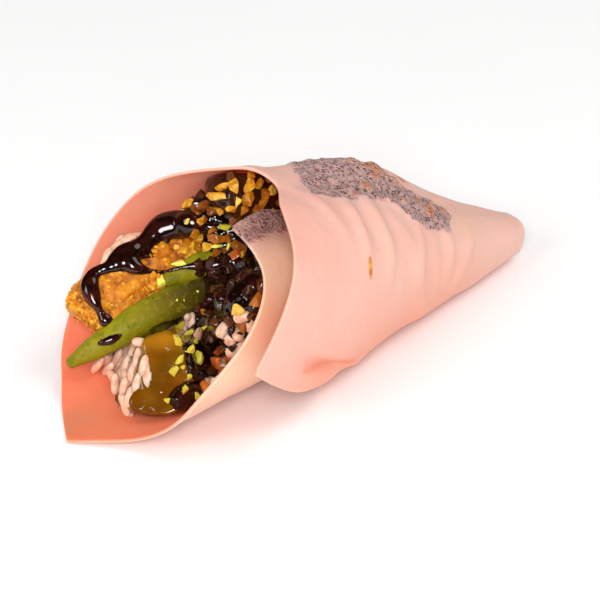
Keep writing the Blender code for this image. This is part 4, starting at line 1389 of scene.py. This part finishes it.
class TEMAKI_OT_stage(bpy.types.Operator):
    """Sets the plain floor, soft lights and camera"""
    bl_idname = "temaki.stage"
    bl_label = "Stage"

    def execute(self, context):
        s = context.scene.temaki_stage
        deselect()
        bpy.ops.mesh.primitive_plane_add(size=6.0, location=(0, 0, -0.0002))
        floor = bpy.context.object
        floor.name = "floor"
        mat, tree, shader = new_finish("pale floor", s.floor_colour, 0.9)
        b = Bench(tree, shader)
        b.colour(b.mix(b.spread(b.grain(60, 2), 0.3, 0.7), tuple(s.floor_colour), tuple(c * 0.99 for c in s.floor_colour)))
        floor.data.materials.append(mat)

        world = bpy.data.worlds.new("soft sky")
        context.scene.world = world
        world.use_nodes = True
        world.node_tree.nodes["Background"].inputs["Color"].default_value = (1, 0.99, 0.98, 1)
        world.node_tree.nodes["Background"].inputs["Strength"].default_value = s.sky
        world.cycles_visibility.glossy = False

        target = Vector((0.0, 0.0, 0.02))
        for name, spot, size, watts in (("key", (-0.74, -0.82, 0.66), 0.40, s.key),
                                        ("fill", (-1.05, -0.10, 0.70), 0.5, s.fill),
                                        ("top", (0.45, -0.45, 1.1), 0.7, s.fill * 0.9)):
            deselect()
            bpy.ops.object.light_add(type='AREA', location=spot)
            light = bpy.context.object
            light.name = name
            light.data.shape = 'DISK'
            light.data.size = size
            light.data.energy = watts
            light.rotation_euler = (target - Vector(spot)).to_track_quat('-Z', 'Y').to_euler()

        data = bpy.data.cameras.new("camera")
        camera = bpy.data.objects.new("camera", data)
        context.scene.collection.objects.link(camera)
        data.lens = s.lens
        data.sensor_width = 36
        data.clip_start, data.clip_end = 0.01, 20
        turn = Matrix((ACROSS, RISE, OPEN_SIDE)).transposed().to_4x4()
        camera.matrix_world = Matrix.Translation(Vector((-0.48644, -0.55977, 0.41554))) @ turn
        context.scene.camera = camera
        context.scene.view_settings.view_transform = 'Standard'
        context.scene.view_settings.look = 'None'
        return {'FINISHED'}


class TEMAKI_PT_panel(bpy.types.Panel):
    """Hand roll tools"""
    bl_label = "Hand Roll"
    bl_idname = "TEMAKI_PT_panel"
    bl_space_type = 'VIEW_3D'
    bl_region_type = 'UI'
    bl_category = "Hand Roll"

    def draw(self, context):
        for operator in STEPS:
            self.layout.operator(operator.bl_idname)
        for name, group in SETTINGS:
            box = self.layout.box()
            for key in group.__annotations__:
                box.prop(getattr(context.scene, name), key)


SETTINGS = (("temaki_wrap", WrapSettings), ("temaki_filling", FillingSettings), ("temaki_strip", StripSettings),
            ("temaki_avocado", AvocadoSettings), ("temaki_sauce", SauceSettings),
            ("temaki_topping", ToppingSettings), ("temaki_stage", StageSettings))
STEPS = (TEMAKI_OT_wrap, TEMAKI_OT_rice, TEMAKI_OT_strip, TEMAKI_OT_avocado, TEMAKI_OT_sauce,
         TEMAKI_OT_nuts, TEMAKI_OT_toppings, TEMAKI_OT_stage)


def register():
    for name, group in SETTINGS:
        bpy.utils.register_class(group)
        setattr(bpy.types.Scene, name, PointerProperty(type=group))
    for operator in STEPS:
        bpy.utils.register_class(operator)
    bpy.utils.register_class(TEMAKI_PT_panel)


def unregister():
    bpy.utils.unregister_class(TEMAKI_PT_panel)
    for operator in reversed(STEPS):
        bpy.utils.unregister_class(operator)
    for name, group in reversed(SETTINGS):
        delattr(bpy.types.Scene, name)
        bpy.utils.unregister_class(group)


def main():
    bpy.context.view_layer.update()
    register()
    bpy.ops.temaki.wrap()
    bpy.ops.temaki.rice()
    bpy.ops.temaki.strip()
    bpy.ops.temaki.avocado()
    bpy.ops.temaki.sauce()
    bpy.ops.temaki.nuts()
    bpy.ops.temaki.toppings()
    bpy.ops.temaki.stage()


if __name__ == "__main__":
    main()
